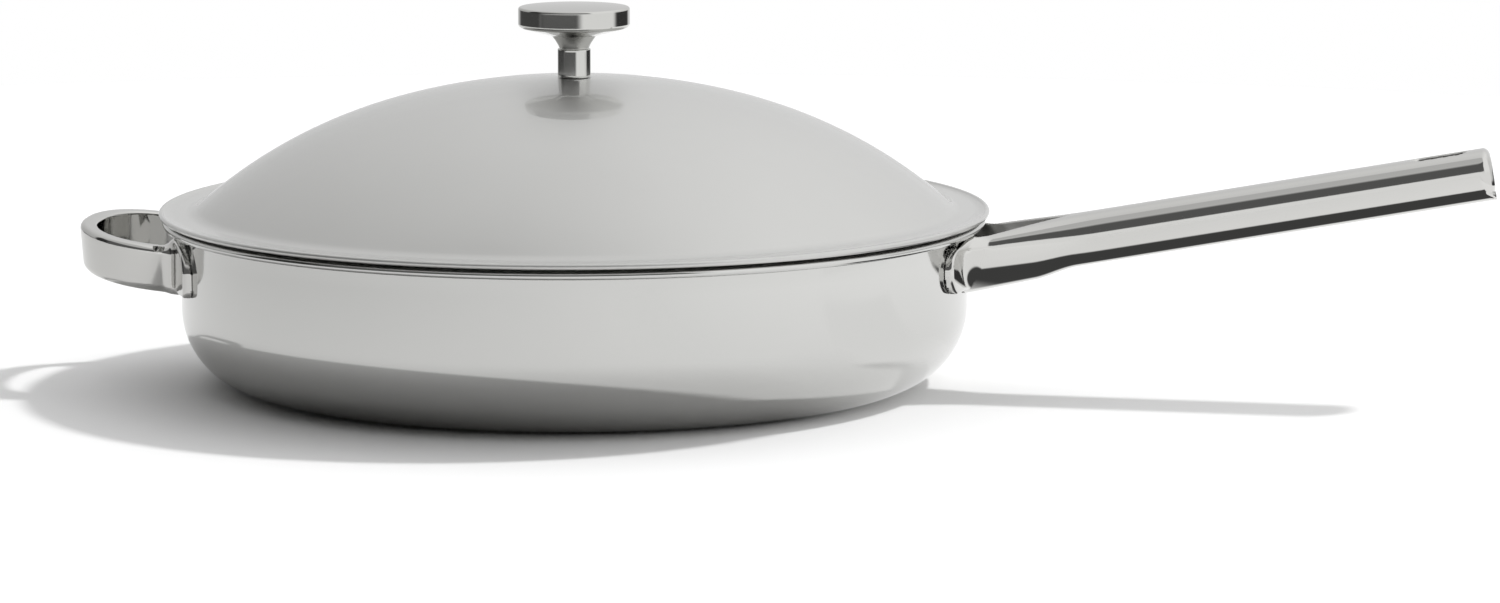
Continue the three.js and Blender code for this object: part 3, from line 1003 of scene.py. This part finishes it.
@dataclass
class LoopHandle:
    """Cast band bent to an oval loop that rises from two curved feet."""

    wall_radius: float = 142.0
    reach: float = 38.4
    rise: float = 9.3
    span: float = 92.4
    draw_in: float = 0.35
    root_depth: float = 8.7
    top_thickness: float = 6.4
    low_thickness: float = 4.0
    band_height: float = 16.6
    low_edge: float = 34.6
    roundness: float = 2.33
    top_outer_edge: float = 2.4
    top_inner_edge: float = 1.0
    low_outer_edge: float = 2.6
    low_inner_edge: float = 1.2
    fillet: float = 4.5
    foot: Foot = field(default_factory=lambda: Foot(
        centre=41.0, width=38.0, height=18.0, low_edge=36.0, top_corner=13.0, low_corner=2.5))
    grid_margin: float = 2.0
    cell: float = 0.65

    def line_value(self, places: np.ndarray) -> np.ndarray:
        """Field of the band's middle in plan.

        Args:
            places: Rows of points.

        Returns:
            Values below zero inside, not yet distances.
        """
        reach = self.reach - self.top_thickness / 2 + self.root_depth
        out = np.maximum(-places[:, 0] - self.wall_radius + self.root_depth, 0) / reach
        half = self.span / 2 * (1 - self.draw_in * (1 - np.minimum(out, 1)) ** 2)
        ring = out ** self.roundness + np.abs(places[:, 1] / half) ** self.roundness
        return ring ** (1 / self.roundness) - 1

    def distance(self, places: np.ndarray) -> np.ndarray:
        """Field of the whole casting.

        Args:
            places: Rows of points.

        Returns:
            The signed distances, negative inside.
        """
        lift = (-places[:, 0] - self.wall_radius) * math.tan(math.radians(self.rise))
        up = places[:, 2] - self.low_edge - lift
        share = np.clip(up / self.band_height, 0, 1)
        half = (self.low_thickness + (self.top_thickness - self.low_thickness) * share) / 2
        line = true_distance(self.line_value, places)
        top = up - self.band_height
        outer = round_meet(round_meet(line - half, top, self.top_outer_edge), -up, self.low_outer_edge)
        inner = round_meet(round_meet(-line - half, top, self.top_inner_edge), -up, self.low_inner_edge)
        whole = np.maximum(outer, inner)
        for side in (1, -1):
            foot = replace(self.foot, centre=side * self.foot.centre)
            whole = round_join(whole, foot.distance(places), self.fillet)
        radius = np.hypot(places[:, 0], places[:, 1])
        return np.maximum(whole, self.foot.seat_radius - radius)

    def build(self, finish: PolishedSteel) -> None:
        """Makes and dresses the loop.

        Args:
            finish: The casting's finish.
        """
        low, high = padded_box("loop_handle", self.grid_margin)
        piece = CastSolid("loop_casting", self.distance, low, high, self.cell).build()
        dress(piece, finish.material(), Body.PAN, "cast_steel", "loop_handle")


# Lid and knob


@dataclass
class Lid:
    """Pressed dome with a flat flange, a thick rolled edge and a locating band underneath."""

    flange_top: float = 62.8
    sheet: float = 1.0
    radius: float = 149.9
    edge_radius: float = 1.0
    dome_rise: float = 47.5
    dome_fullness: float = 0.265
    foot_radius: float = 135.5
    foot_step: float = 1.8
    hole_radius: float = 2.8
    band_outer: float = 138.6
    band_thickness: float = 1.0
    band_drop: float = 7.0
    segments: int = 288
    dome_steps: int = 64
    fillet_steps: int = 12
    edge_steps: int = 20
    longest_face: float = 4.0
    longest_band: float = 3.0

    def dome(self, radius: float) -> tuple[float, float]:
        """Shape of the dome's outside.

        Args:
            radius: Distance from the axis.

        Returns:
            Its height and its slope there.
        """
        share = radius / self.foot_radius
        drop = self.dome_rise - self.foot_step
        fall = (1 - self.dome_fullness) * share ** 2 + self.dome_fullness * share ** 4
        rate = 2 * (1 - self.dome_fullness) * share + 4 * self.dome_fullness * share ** 3
        return self.flange_top + self.dome_rise - drop * fall, -drop * rate / self.foot_radius

    def outline(self, depth: float) -> list[Point]:
        """Dome and foot fillet, offset into the sheet.

        Args:
            depth: How far below the outside the points lie.

        Returns:
            Points from the hole to the start of the flange.
        """
        points = []
        for k in range(self.dome_steps):
            radius = self.hole_radius + (self.foot_radius - self.hole_radius) * k / self.dome_steps
            height, slope = self.dome(radius)
            size = math.hypot(1, slope)
            points.append((radius + depth * slope / size, height - depth / size))
        foot = math.atan(-self.dome(self.foot_radius)[1])
        fillet = self.foot_step / (1 - math.cos(foot))
        centre = (self.foot_radius + fillet * math.sin(foot), self.flange_top + fillet)
        return points + arc(centre, fillet + depth, -90 - math.degrees(foot), -90, self.fillet_steps)

    def build(self, finish: PolishedSteel, band_finish: PolishedSteel) -> None:
        """Makes and dresses the pressing and its locating band.

        Args:
            finish: The pressing's finish.
            band_finish: The band's finish.
        """
        middle = (self.radius - self.edge_radius, self.flange_top - self.sheet / 2)
        start = math.degrees(math.asin(self.sheet / (2 * self.edge_radius)))
        edge = arc(middle, self.edge_radius, 180 - start, start - 180, self.edge_steps)
        profile = self.outline(0.0) + edge + self.outline(self.sheet)[::-1]
        whole = dense(profile[::-1], self.longest_face)
        pressing = lathe("lid_pressing", whole, self.segments, closed=True)
        dress(pressing, finish.material(), Body.LID, "lid_steel", "lid_shell")
        top = self.flange_top - self.sheet
        low = top - self.band_drop
        inner = self.band_outer - self.band_thickness
        half = self.band_thickness / 2
        rounded = arc((inner + half, low + half), half, 180, 360, self.fillet_steps)
        strip = dense([(inner, top)] + rounded + [(self.band_outer, top)], self.longest_band)
        band = lathe("locating_band", strip, self.segments, closed=True)
        dress(band, band_finish.material(), Body.LID, "satin_steel", "lid_locating_ring")


@dataclass
class Knob:
    """Turned knob with its gasket and the washers and screw that hold it from below."""

    base: float = 111.0
    height: float = 25.4
    disc_diameter: float = 40.2
    disc_thickness: float = 7.6
    crown: float = 0.6
    top_edge: float = 0.9
    low_edge: float = 1.6
    under_cut: float = 2.8
    neck_diameter: float = 16.4
    neck_height: float = 4.6
    neck_curve: float = 1.4
    stem_diameter: float = 11.9
    shoulder: float = 0.5
    bore_radius: float = 2.8
    bore_depth: float = 11.3
    gasket: float = 0.6
    gasket_inset: float = 0.1
    gasket_gap: float = 0.1
    skirt: float = 0.7
    skirt_drop: float = 0.6
    skirt_edge: float = 0.2
    low_edge_start: float = -78.0
    top_edge_end: float = 87.0
    ring_softness: float = 0.22
    washer_top: float = 108.9
    washer_diameter: float = 15.0
    washer_thickness: float = 1.0
    spring_top: float = 107.8
    spring_diameter: float = 9.0
    spring_thickness: float = 1.3
    spring_split: float = 1.2
    spring_lift: float = 0.12
    spring_steps: int = 96
    screw_top: float = 106.4
    screw_head_diameter: float = 9.4
    screw_head_height: float = 3.0
    screw_crown: float = 1.4
    screw_diameter: float = 5.0
    screw_end: float = 122.0
    screw_overlap: float = 1.0
    head_edge: float = 0.5
    seat_edge: float = 0.15
    shank_edge: float = 0.3
    recess_width: float = 1.3
    recess_length: float = 5.2
    recess_depth: float = 1.9
    recess_slope: float = 0.35
    recess_edge: float = 0.12
    screw_margin: float = 0.5
    screw_cell: float = 0.14
    segments: int = 160
    cone_steps: int = 20
    shoulder_steps: int = 10
    low_edge_steps: int = 30
    top_edge_steps: int = 48
    crown_steps: int = 12
    skirt_steps: int = 8
    ring_steps: int = 4
    longest_face: float = 0.6

    def knob_profile(self) -> list[Point]:
        """Outline of the turning.

        Returns:
            Points from the bore to the middle of the crown.
        """
        stem = self.stem_diameter / 2
        neck = self.neck_diameter / 2
        disc = self.disc_diameter / 2
        top = self.base + self.height
        disc_top = top - self.crown
        disc_low = disc_top - self.disc_thickness
        neck_top = disc_low - self.under_cut
        neck_low = neck_top - self.neck_height
        waist = stem - self.shoulder
        shoulder = arc((waist, neck_low - self.shoulder), self.shoulder, 0, 90, self.shoulder_steps)
        shares = [k / self.cone_steps for k in range(self.cone_steps + 1)]
        cone = [(waist + (neck - waist) * s ** self.neck_curve, neck_low + self.neck_height * s)
                for s in shares]
        low_edge = arc((disc - self.low_edge, disc_low + self.low_edge), self.low_edge,
                       self.low_edge_start, 0, self.low_edge_steps)
        rim = disc - self.top_edge
        top_edge = arc((rim, disc_top - self.top_edge), self.top_edge,
                       0, self.top_edge_end, self.top_edge_steps)
        ball = (rim ** 2 + self.crown ** 2) / (2 * self.crown)
        spread = math.asin(rim / ball)
        turns = [spread * k / self.crown_steps for k in range(self.crown_steps - 1, -1, -1)]
        crown = [(ball * math.sin(t), top - ball * (1 - math.cos(t))) for t in turns]
        seat = stem - self.skirt
        low = self.base - self.skirt_drop
        bore = [(0.0, self.base + self.bore_depth), (self.bore_radius, self.base + self.bore_depth),
                (self.bore_radius, self.base), (seat, self.base), (seat, low)]
        soft = self.skirt_edge
        foot = arc((stem - soft, low + soft), soft, -90, 0, self.skirt_steps)
        return bore + foot + shoulder + cone[1:] + low_edge + top_edge + crown

    def ring(self, name: str, outer: float, low: float, thickness: float) -> Piece:
        """Flat ring round the screw with softened edges.

        Args:
            name: The piece's name.
            outer: Outer diameter.
            low: Height of its underside.
            thickness: Its thickness.

        Returns:
            The ring.
        """
        soft = self.ring_softness * thickness
        out = outer / 2
        high = low + thickness
        profile = [(self.bore_radius, low)] + arc((out - soft, low + soft), soft, -90, 0, self.ring_steps)
        profile += arc((out - soft, high - soft), soft, 0, 90, self.ring_steps) + [(self.bore_radius, high)]
        return lathe(name, profile, self.segments, closed=True)

    def spring_washer(self) -> Piece:
        """Split ring whose ends stand a little apart.

        Returns:
            The washer.
        """
        inner, outer = self.bore_radius, self.spring_diameter / 2
        low = self.spring_top - self.spring_thickness
        high = self.spring_thickness - self.spring_lift
        gap = self.spring_split / (inner + outer)
        steps = self.spring_steps
        section = [(inner, 0.0), (outer, 0.0), (outer, high), (inner, high)]
        vertices = []
        for k in range(steps + 1):
            turn = gap + (2 * math.pi - 2 * gap) * k / steps
            base = low + self.spring_lift * k / steps
            vertices += [(r * math.cos(turn), r * math.sin(turn), base + h) for r, h in section]
        faces: list[list[int]] = [[3, 2, 1, 0]]
        for k in range(steps):
            for side in range(4):
                a, b = 4 * k + side, 4 * k + (side + 1) % 4
                faces.append([a, b, b + 4, a + 4])
        faces.append([4 * steps + side for side in range(4)])
        piece = piece_from("knob_spring_washer", np.array(vertices), faces)
        piece.data.shade_flat()
        return piece

    def screw_distance(self, places: np.ndarray) -> np.ndarray:
        """Field of the screw: crowned head with a cross recess, and a plain shank.

        Args:
            places: Rows of points.

        Returns:
            The signed distances, negative inside.
        """
        x, y, z = places.T
        radius = np.hypot(x, y)
        head_low = self.screw_top - self.screw_head_height
        head = self.screw_head_diameter / 2
        ball = (head ** 2 + self.screw_crown ** 2) / (2 * self.screw_crown)
        cap = np.sqrt(radius ** 2 + (z - head_low - ball) ** 2) - ball
        body = round_meet(round_meet(radius - head, cap, self.head_edge), z - self.screw_top, self.seat_edge)
        ends = np.maximum(z - self.screw_end, self.screw_top - self.screw_overlap - z)
        shank = round_meet(radius - self.screw_diameter / 2, ends, self.shank_edge)
        whole = np.minimum(body, shank)
        depth = z - head_low - self.recess_depth
        for across, far in ((x, y), (y, x)):
            wing = np.maximum(np.abs(across) - self.recess_width / 2, np.abs(far) - self.recess_length / 2)
            wing = np.maximum(wing, depth + self.recess_slope * np.abs(far))
            whole = round_meet(whole, -wing, self.recess_edge)
        return whole

    def build(self, finish: PolishedSteel, hardware: PolishedSteel, rubber: MouldedSilicone) -> None:
        """Makes and dresses the knob and its stack.

        Args:
            finish: The knob's finish.
            hardware: The finish of the washers and the screw.
            rubber: The gasket's finish.
        """
        turning = lathe("knob_turning", dense(self.knob_profile(), self.longest_face), self.segments)
        dress(turning, finish.material(), Body.LID, "turned_steel", "knob")
        seal_width = self.stem_diameter - 2 * self.skirt - 2 * self.gasket_inset
        seal = self.ring("knob_seal", seal_width, self.base - self.gasket_gap - self.gasket, self.gasket)
        dress(seal, rubber.material(), Body.LID, "silicone", "knob_gasket")
        metal = hardware.material()
        washer = self.ring("knob_flat_washer", self.washer_diameter, self.washer_top - self.washer_thickness,
                           self.washer_thickness)
        dress(washer, metal, Body.LID, "hardware_steel", "knob_washer")
        dress(self.spring_washer(), metal, Body.LID, "hardware_steel", "knob_lock_washer")
        margin = self.screw_margin
        reach = self.screw_head_diameter / 2 + margin
        low = self.screw_top - self.screw_head_height - margin
        screw = CastSolid("knob_fixing_screw", self.screw_distance, (-reach, -reach, low),
                          (reach, reach, self.screw_end + margin), self.screw_cell)
        dress(screw.build(), metal, Body.LID, "hardware_steel", "knob_screw")


# Studio


@dataclass(frozen=True)
class Panel:
    """Something that stands round the table and that the metal mirrors.

    Turns are in degrees to the right of the camera's side, heights in degrees above the horizon.
    """

    turn: Point
    height: Point
    level: float
    turn_soft: float = 4.0
    low_soft: float = 1.5
    high_soft: float = 3.0
    lean: float = 0.0

    def lay_over(self, tree: Tree, under: Socket, turn: Socket, height: Socket) -> Socket:
        """Lays the panel over what stands behind it.

        Args:
            tree: The world's node tree.
            under: Brightness behind the panel.
            turn: The direction's turn.
            height: The direction's height.

        Returns:
            The brightness with the panel in front.
        """
        leaning = calc(tree, "MULTIPLY_ADD", turn, -self.lean, height)
        shown = soft_step(tree, turn, self.turn[0], self.turn_soft)
        for edge in (soft_step(tree, turn, self.turn[1], -self.turn_soft),
                     soft_step(tree, leaning, self.height[0], self.low_soft),
                     soft_step(tree, height, self.height[1], -self.high_soft)):
            shown = calc(tree, "MULTIPLY", shown, edge)
        return feed(tree, "ShaderNodeMix", {"Factor": shown, 2: under, 3: self.level}, data_type="FLOAT")


FRONT_CEILING = Panel(turn=(-112, 40), height=(50, 100), level=0.66, turn_soft=12, low_soft=9, high_soft=5)
FRONT_HOOD = Panel(turn=(-78, 38), height=(6, 47), level=0.13, high_soft=8, lean=0.15)
LEFT_FLAG = Panel(turn=(-147, -70), height=(-12, 0), level=0.08, turn_soft=9, high_soft=2)
LEFT_SCREEN = Panel(turn=(-105, -74), height=(-4, 42), level=0.04, turn_soft=5, high_soft=9)
RIGHT_FLAG = Panel(turn=(96, 150), height=(-7, 0), level=0.05, turn_soft=8, low_soft=0.5, high_soft=2)
RIGHT_WINDOW = Panel(turn=(40, 96), height=(-30, 62), level=1.15, high_soft=12)
TABLE_END = Panel(turn=(-78, 96), height=(-30, 8), level=1.08, high_soft=4)
CAMERA_STAND = Panel(turn=(-76, 14), height=(-12, -5), level=0.13, turn_soft=9, low_soft=0.5, high_soft=0.5)
TABLE_SIDE = Panel(turn=(84, 190), height=(-30, -7), level=1.08, turn_soft=8, high_soft=0.5)
UNDER_TABLE = Panel(turn=(-200, 200), height=(-100, -29), level=0.07, high_soft=3)
PANELS = (FRONT_CEILING, RIGHT_WINDOW, TABLE_END, FRONT_HOOD, CAMERA_STAND, LEFT_FLAG, LEFT_SCREEN,
          RIGHT_FLAG, TABLE_SIDE, UNDER_TABLE)


@dataclass
class Studio:
    """White floor, soft surroundings, one key lamp and the camera of the photograph."""

    view_turn: float = 6.3
    view_pitch: float = 8.452
    camera_place: Vector = field(default_factory=lambda: Vector((0.3044, -2.1798, 0.3554)))
    lens: float = 147.24
    sensor: float = 36.0
    floor_radius: float = 1.0
    floor_sides: int = 128
    floor_colour: str = "#F7F7F7"
    floor_span: Point = (-0.45, 0.45)
    painted_falloff_shades: Point = (0.66, 0.97)
    painted_glow_level: float = 1.2
    painted_glow_from: float = 0.12
    painted_glow_soft: float = 0.05
    gap_along: Point = (0.150, 0.400)
    gap_front: float = -0.042
    gap_slant: float = 0.22
    gap_back: float = 0.032
    gap_soft: float = 0.012
    base_radius: float = 0.112
    base_soft: float = 0.002
    key_direction: Vector = field(default_factory=lambda: Vector((0.7, 0.52, 1.0)))
    key_strength: float = 1.74
    key_spread: float = 4.5
    ambient: float = 0.52
    ambient_back: float = 0.92
    ambient_right: float = 0.68
    ambient_above: float = 0.4
    ambient_least: float = 0.02
    room_span: Point = (-0.5, 0.5)
    room_shades: Point = (0.79, 1.21)
    back_span: Point = (0.12, 0.85)
    back_shades: Point = (0.70, 0.97)

    def add_camera(self) -> None:
        """Places the camera at the photograph's viewing angle."""
        data = bpy.data.cameras.new("camera")
        data.lens = self.lens
        data.sensor_width = self.sensor
        camera = bpy.data.objects.new("camera", data)
        camera.location = self.camera_place
        camera.rotation_euler = (math.radians(90 - self.view_pitch), 0, math.radians(self.view_turn))
        bpy.context.scene.collection.objects.link(camera)
        bpy.context.scene.camera = camera

    def add_key(self) -> None:
        """Adds the broad lamp that throws the pan's shadow to the front left."""
        data = bpy.data.lights.new("key", "SUN")
        data.energy = self.key_strength
        data.angle = math.radians(self.key_spread)
        lamp = bpy.data.objects.new("key", data)
        lamp.rotation_euler = self.key_direction.to_track_quat("Z", "Y").to_euler()
        lamp.visible_glossy = False
        bpy.context.scene.collection.objects.link(lamp)

    def turned(self, tree: Tree, vector: Socket) -> Any:
        """Turns a vector to the camera's side and splits it.

        Args:
            tree: The node tree.
            vector: A place or a direction.

        Returns:
            Sockets by name, with X to the camera's right and Y away from it.
        """
        turn = (0, 0, -math.radians(self.view_turn))
        mapped = feed(tree, "ShaderNodeMapping", {"Vector": vector, "Rotation": turn})
        return add_node(tree, "ShaderNodeSeparateXYZ", {"Vector": mapped}).outputs

    def floor_opening(self, tree: Tree, place: Socket) -> Socket:
        """Adds where the mirrored table is open: under the handle, where it paints a dark reflection, and
        under the base that touches it.

        Args:
            tree: The floor's node tree.
            place: The place on the floor.

        Returns:
            1 where it is open and 0 elsewhere.
        """
        spot = add_node(tree, "ShaderNodeSeparateXYZ", {"Vector": place}).outputs
        slanted = calc(tree, "MULTIPLY_ADD", spot["X"], self.gap_slant, spot["Y"])
        gap = soft_step(tree, spot["X"], self.gap_along[0], self.gap_soft)
        for edge in (soft_step(tree, spot["X"], self.gap_along[1], -self.gap_soft),
                     soft_step(tree, slanted, self.gap_front, self.gap_soft),
                     soft_step(tree, spot["Y"], self.gap_back, -self.gap_soft)):
            gap = calc(tree, "MULTIPLY", gap, edge)
        _, away = flattened(tree, place)
        return calc(tree, "MAXIMUM", gap, soft_step(tree, away, self.base_radius, -self.base_soft))

    def floor_material(self) -> Material:
        """Builds the white paper floor.

        Returns:
            A diffuse material. Mirror rays see it with painted shade, darker towards the left, with a
            painted glow in place of the shadowed paper on the right, and with openings that paint dark
            reflections.
        """
        material, tree = new_material("White paper, matt")
        place = add_node(tree, "ShaderNodeNewGeometry").outputs
        mirrored = add_node(tree, "ShaderNodeLightPath").outputs["Is Glossy Ray"]
        right = self.turned(tree, place["Position"])["X"]
        # Painted shade: mirror rays see the paper darker towards the left, standing in for light that falls
        # off there; the camera sees it even.
        shade = map_range(tree, right, self.floor_span, self.painted_falloff_shades)
        seen = blend(tree, mirrored, linear(self.floor_colour), shade)
        paper = feed(tree, "ShaderNodeBsdfDiffuse", {"Color": seen})
        # Painted light: to mirror rays, the paper on the right glows at the level of lit paper, so no shadow
        # shows there in the metal.
        even = feed(tree, "ShaderNodeEmission", {"Color": shade, "Strength": self.painted_glow_level})
        lit = calc(tree, "MULTIPLY", soft_step(tree, right, self.painted_glow_from, self.painted_glow_soft), mirrored)
        table = feed(tree, "ShaderNodeMixShader", {"Fac": lit, 1: paper, 2: even})
        # Painted reflection: mirror rays pass through the opening under the handle to the dark below, so the
        # handle's underside mirrors dark above paper that the camera and the lamp still find lit.
        opened = calc(tree, "MULTIPLY", self.floor_opening(tree, place["Position"]), mirrored)
        hidden = calc(tree, "MAXIMUM", opened, place["Backfacing"])
        clear = feed(tree, "ShaderNodeBsdfTransparent")
        shown = feed(tree, "ShaderNodeMixShader", {"Fac": hidden, 1: table, 2: clear})
        add_node(tree, "ShaderNodeOutputMaterial", {"Surface": shown})
        return material

    def add_floor(self) -> None:
        """Lays the round floor under the pan."""
        turns = [2 * math.pi * k / self.floor_sides for k in range(self.floor_sides)]
        rim = [(self.floor_radius * math.cos(t), self.floor_radius * math.sin(t), 0.0) for t in turns]
        mesh = bpy.data.meshes.new("floor")
        mesh.from_pydata(rim, [], [list(range(self.floor_sides))])
        mesh.materials.append(self.floor_material())
        floor = bpy.data.objects.new("floor", mesh)
        bpy.context.scene.collection.objects.link(floor)

    def soft_light(self, tree: Tree, direction: Any) -> Socket:
        """Adds the soft light that falls on matt surfaces, strongest from behind and from the right.

        Args:
            tree: The world's node tree.
            direction: The direction's sockets, from turned.

        Returns:
            The light's brightness.
        """
        level: Any = self.ambient
        for axis, share in (("Y", self.ambient_back), ("X", self.ambient_right), ("Z", self.ambient_above)):
            level = calc(tree, "MULTIPLY_ADD", direction[axis], share, level)
        return calc(tree, "MAXIMUM", level, self.ambient_least)

    def mirrored_room(self, tree: Tree, direction: Any) -> Socket:
        """Adds the room that the metal mirrors: a pale back wall and ceiling with panels before them.

        Args:
            tree: The world's node tree.
            direction: The direction's sockets, from turned.

        Returns:
            The room's brightness.
        """
        front = calc(tree, "MULTIPLY", direction["Y"], -1.0)
        turn = calc(tree, "DEGREES", calc(tree, "ARCTAN2", direction["X"], front))
        height = calc(tree, "DEGREES", calc(tree, "ARCSINE", direction["Z"]))
        side = map_range(tree, direction["X"], self.room_span, self.room_shades)
        wall = map_range(tree, direction["Z"], self.back_span, self.back_shades, smooth=True)
        level = calc(tree, "MULTIPLY", side, wall)
        for panel in PANELS:
            level = panel.lay_over(tree, level, turn, height)
        return level

    def add_surroundings(self) -> None:
        """Sets the world: white to the camera, soft light to the floor, a room to the metal."""
        world = bpy.data.worlds.new("studio")
        bpy.context.scene.world = world
        world.use_nodes = True
        tree = world.node_tree
        tree.nodes.clear()
        path = add_node(tree, "ShaderNodeLightPath").outputs
        direction = self.turned(tree, feed(tree, "ShaderNodeTexCoord"))
        light = self.soft_light(tree, direction)
        room = self.mirrored_room(tree, direction)
        lit = blend(tree, path["Is Glossy Ray"], light, room)
        seen = blend(tree, path["Is Camera Ray"], lit, linear("#FFFFFF"))
        shader = feed(tree, "ShaderNodeBackground", {"Color": seen, "Strength": 1.0})
        add_node(tree, "ShaderNodeOutputWorld", {"Surface": shader})

    def build(self) -> None:
        """Sets the whole studio."""
        bpy.context.scene.view_settings.view_transform = "Standard"
        self.add_camera()
        self.add_floor()
        self.add_key()
        self.add_surroundings()


def main() -> None:
    """Builds the studio and the pan."""
    logging.basicConfig(level=logging.INFO, format="%(message)s")
    Studio().build()
    pan = PanBody()
    pan.build(DRAWN_STEEL)
    RivetHeads(pan).build(RIVET_STEEL)
    LongHandle().build(CAST_STEEL)
    LoopHandle().build(CAST_STEEL)
    Lid().build(PRESSED_STEEL, SATIN_STEEL)
    Knob().build(TURNED_STEEL, HARDWARE_STEEL, SILICONE)


if __name__ == "__main__":
    main()
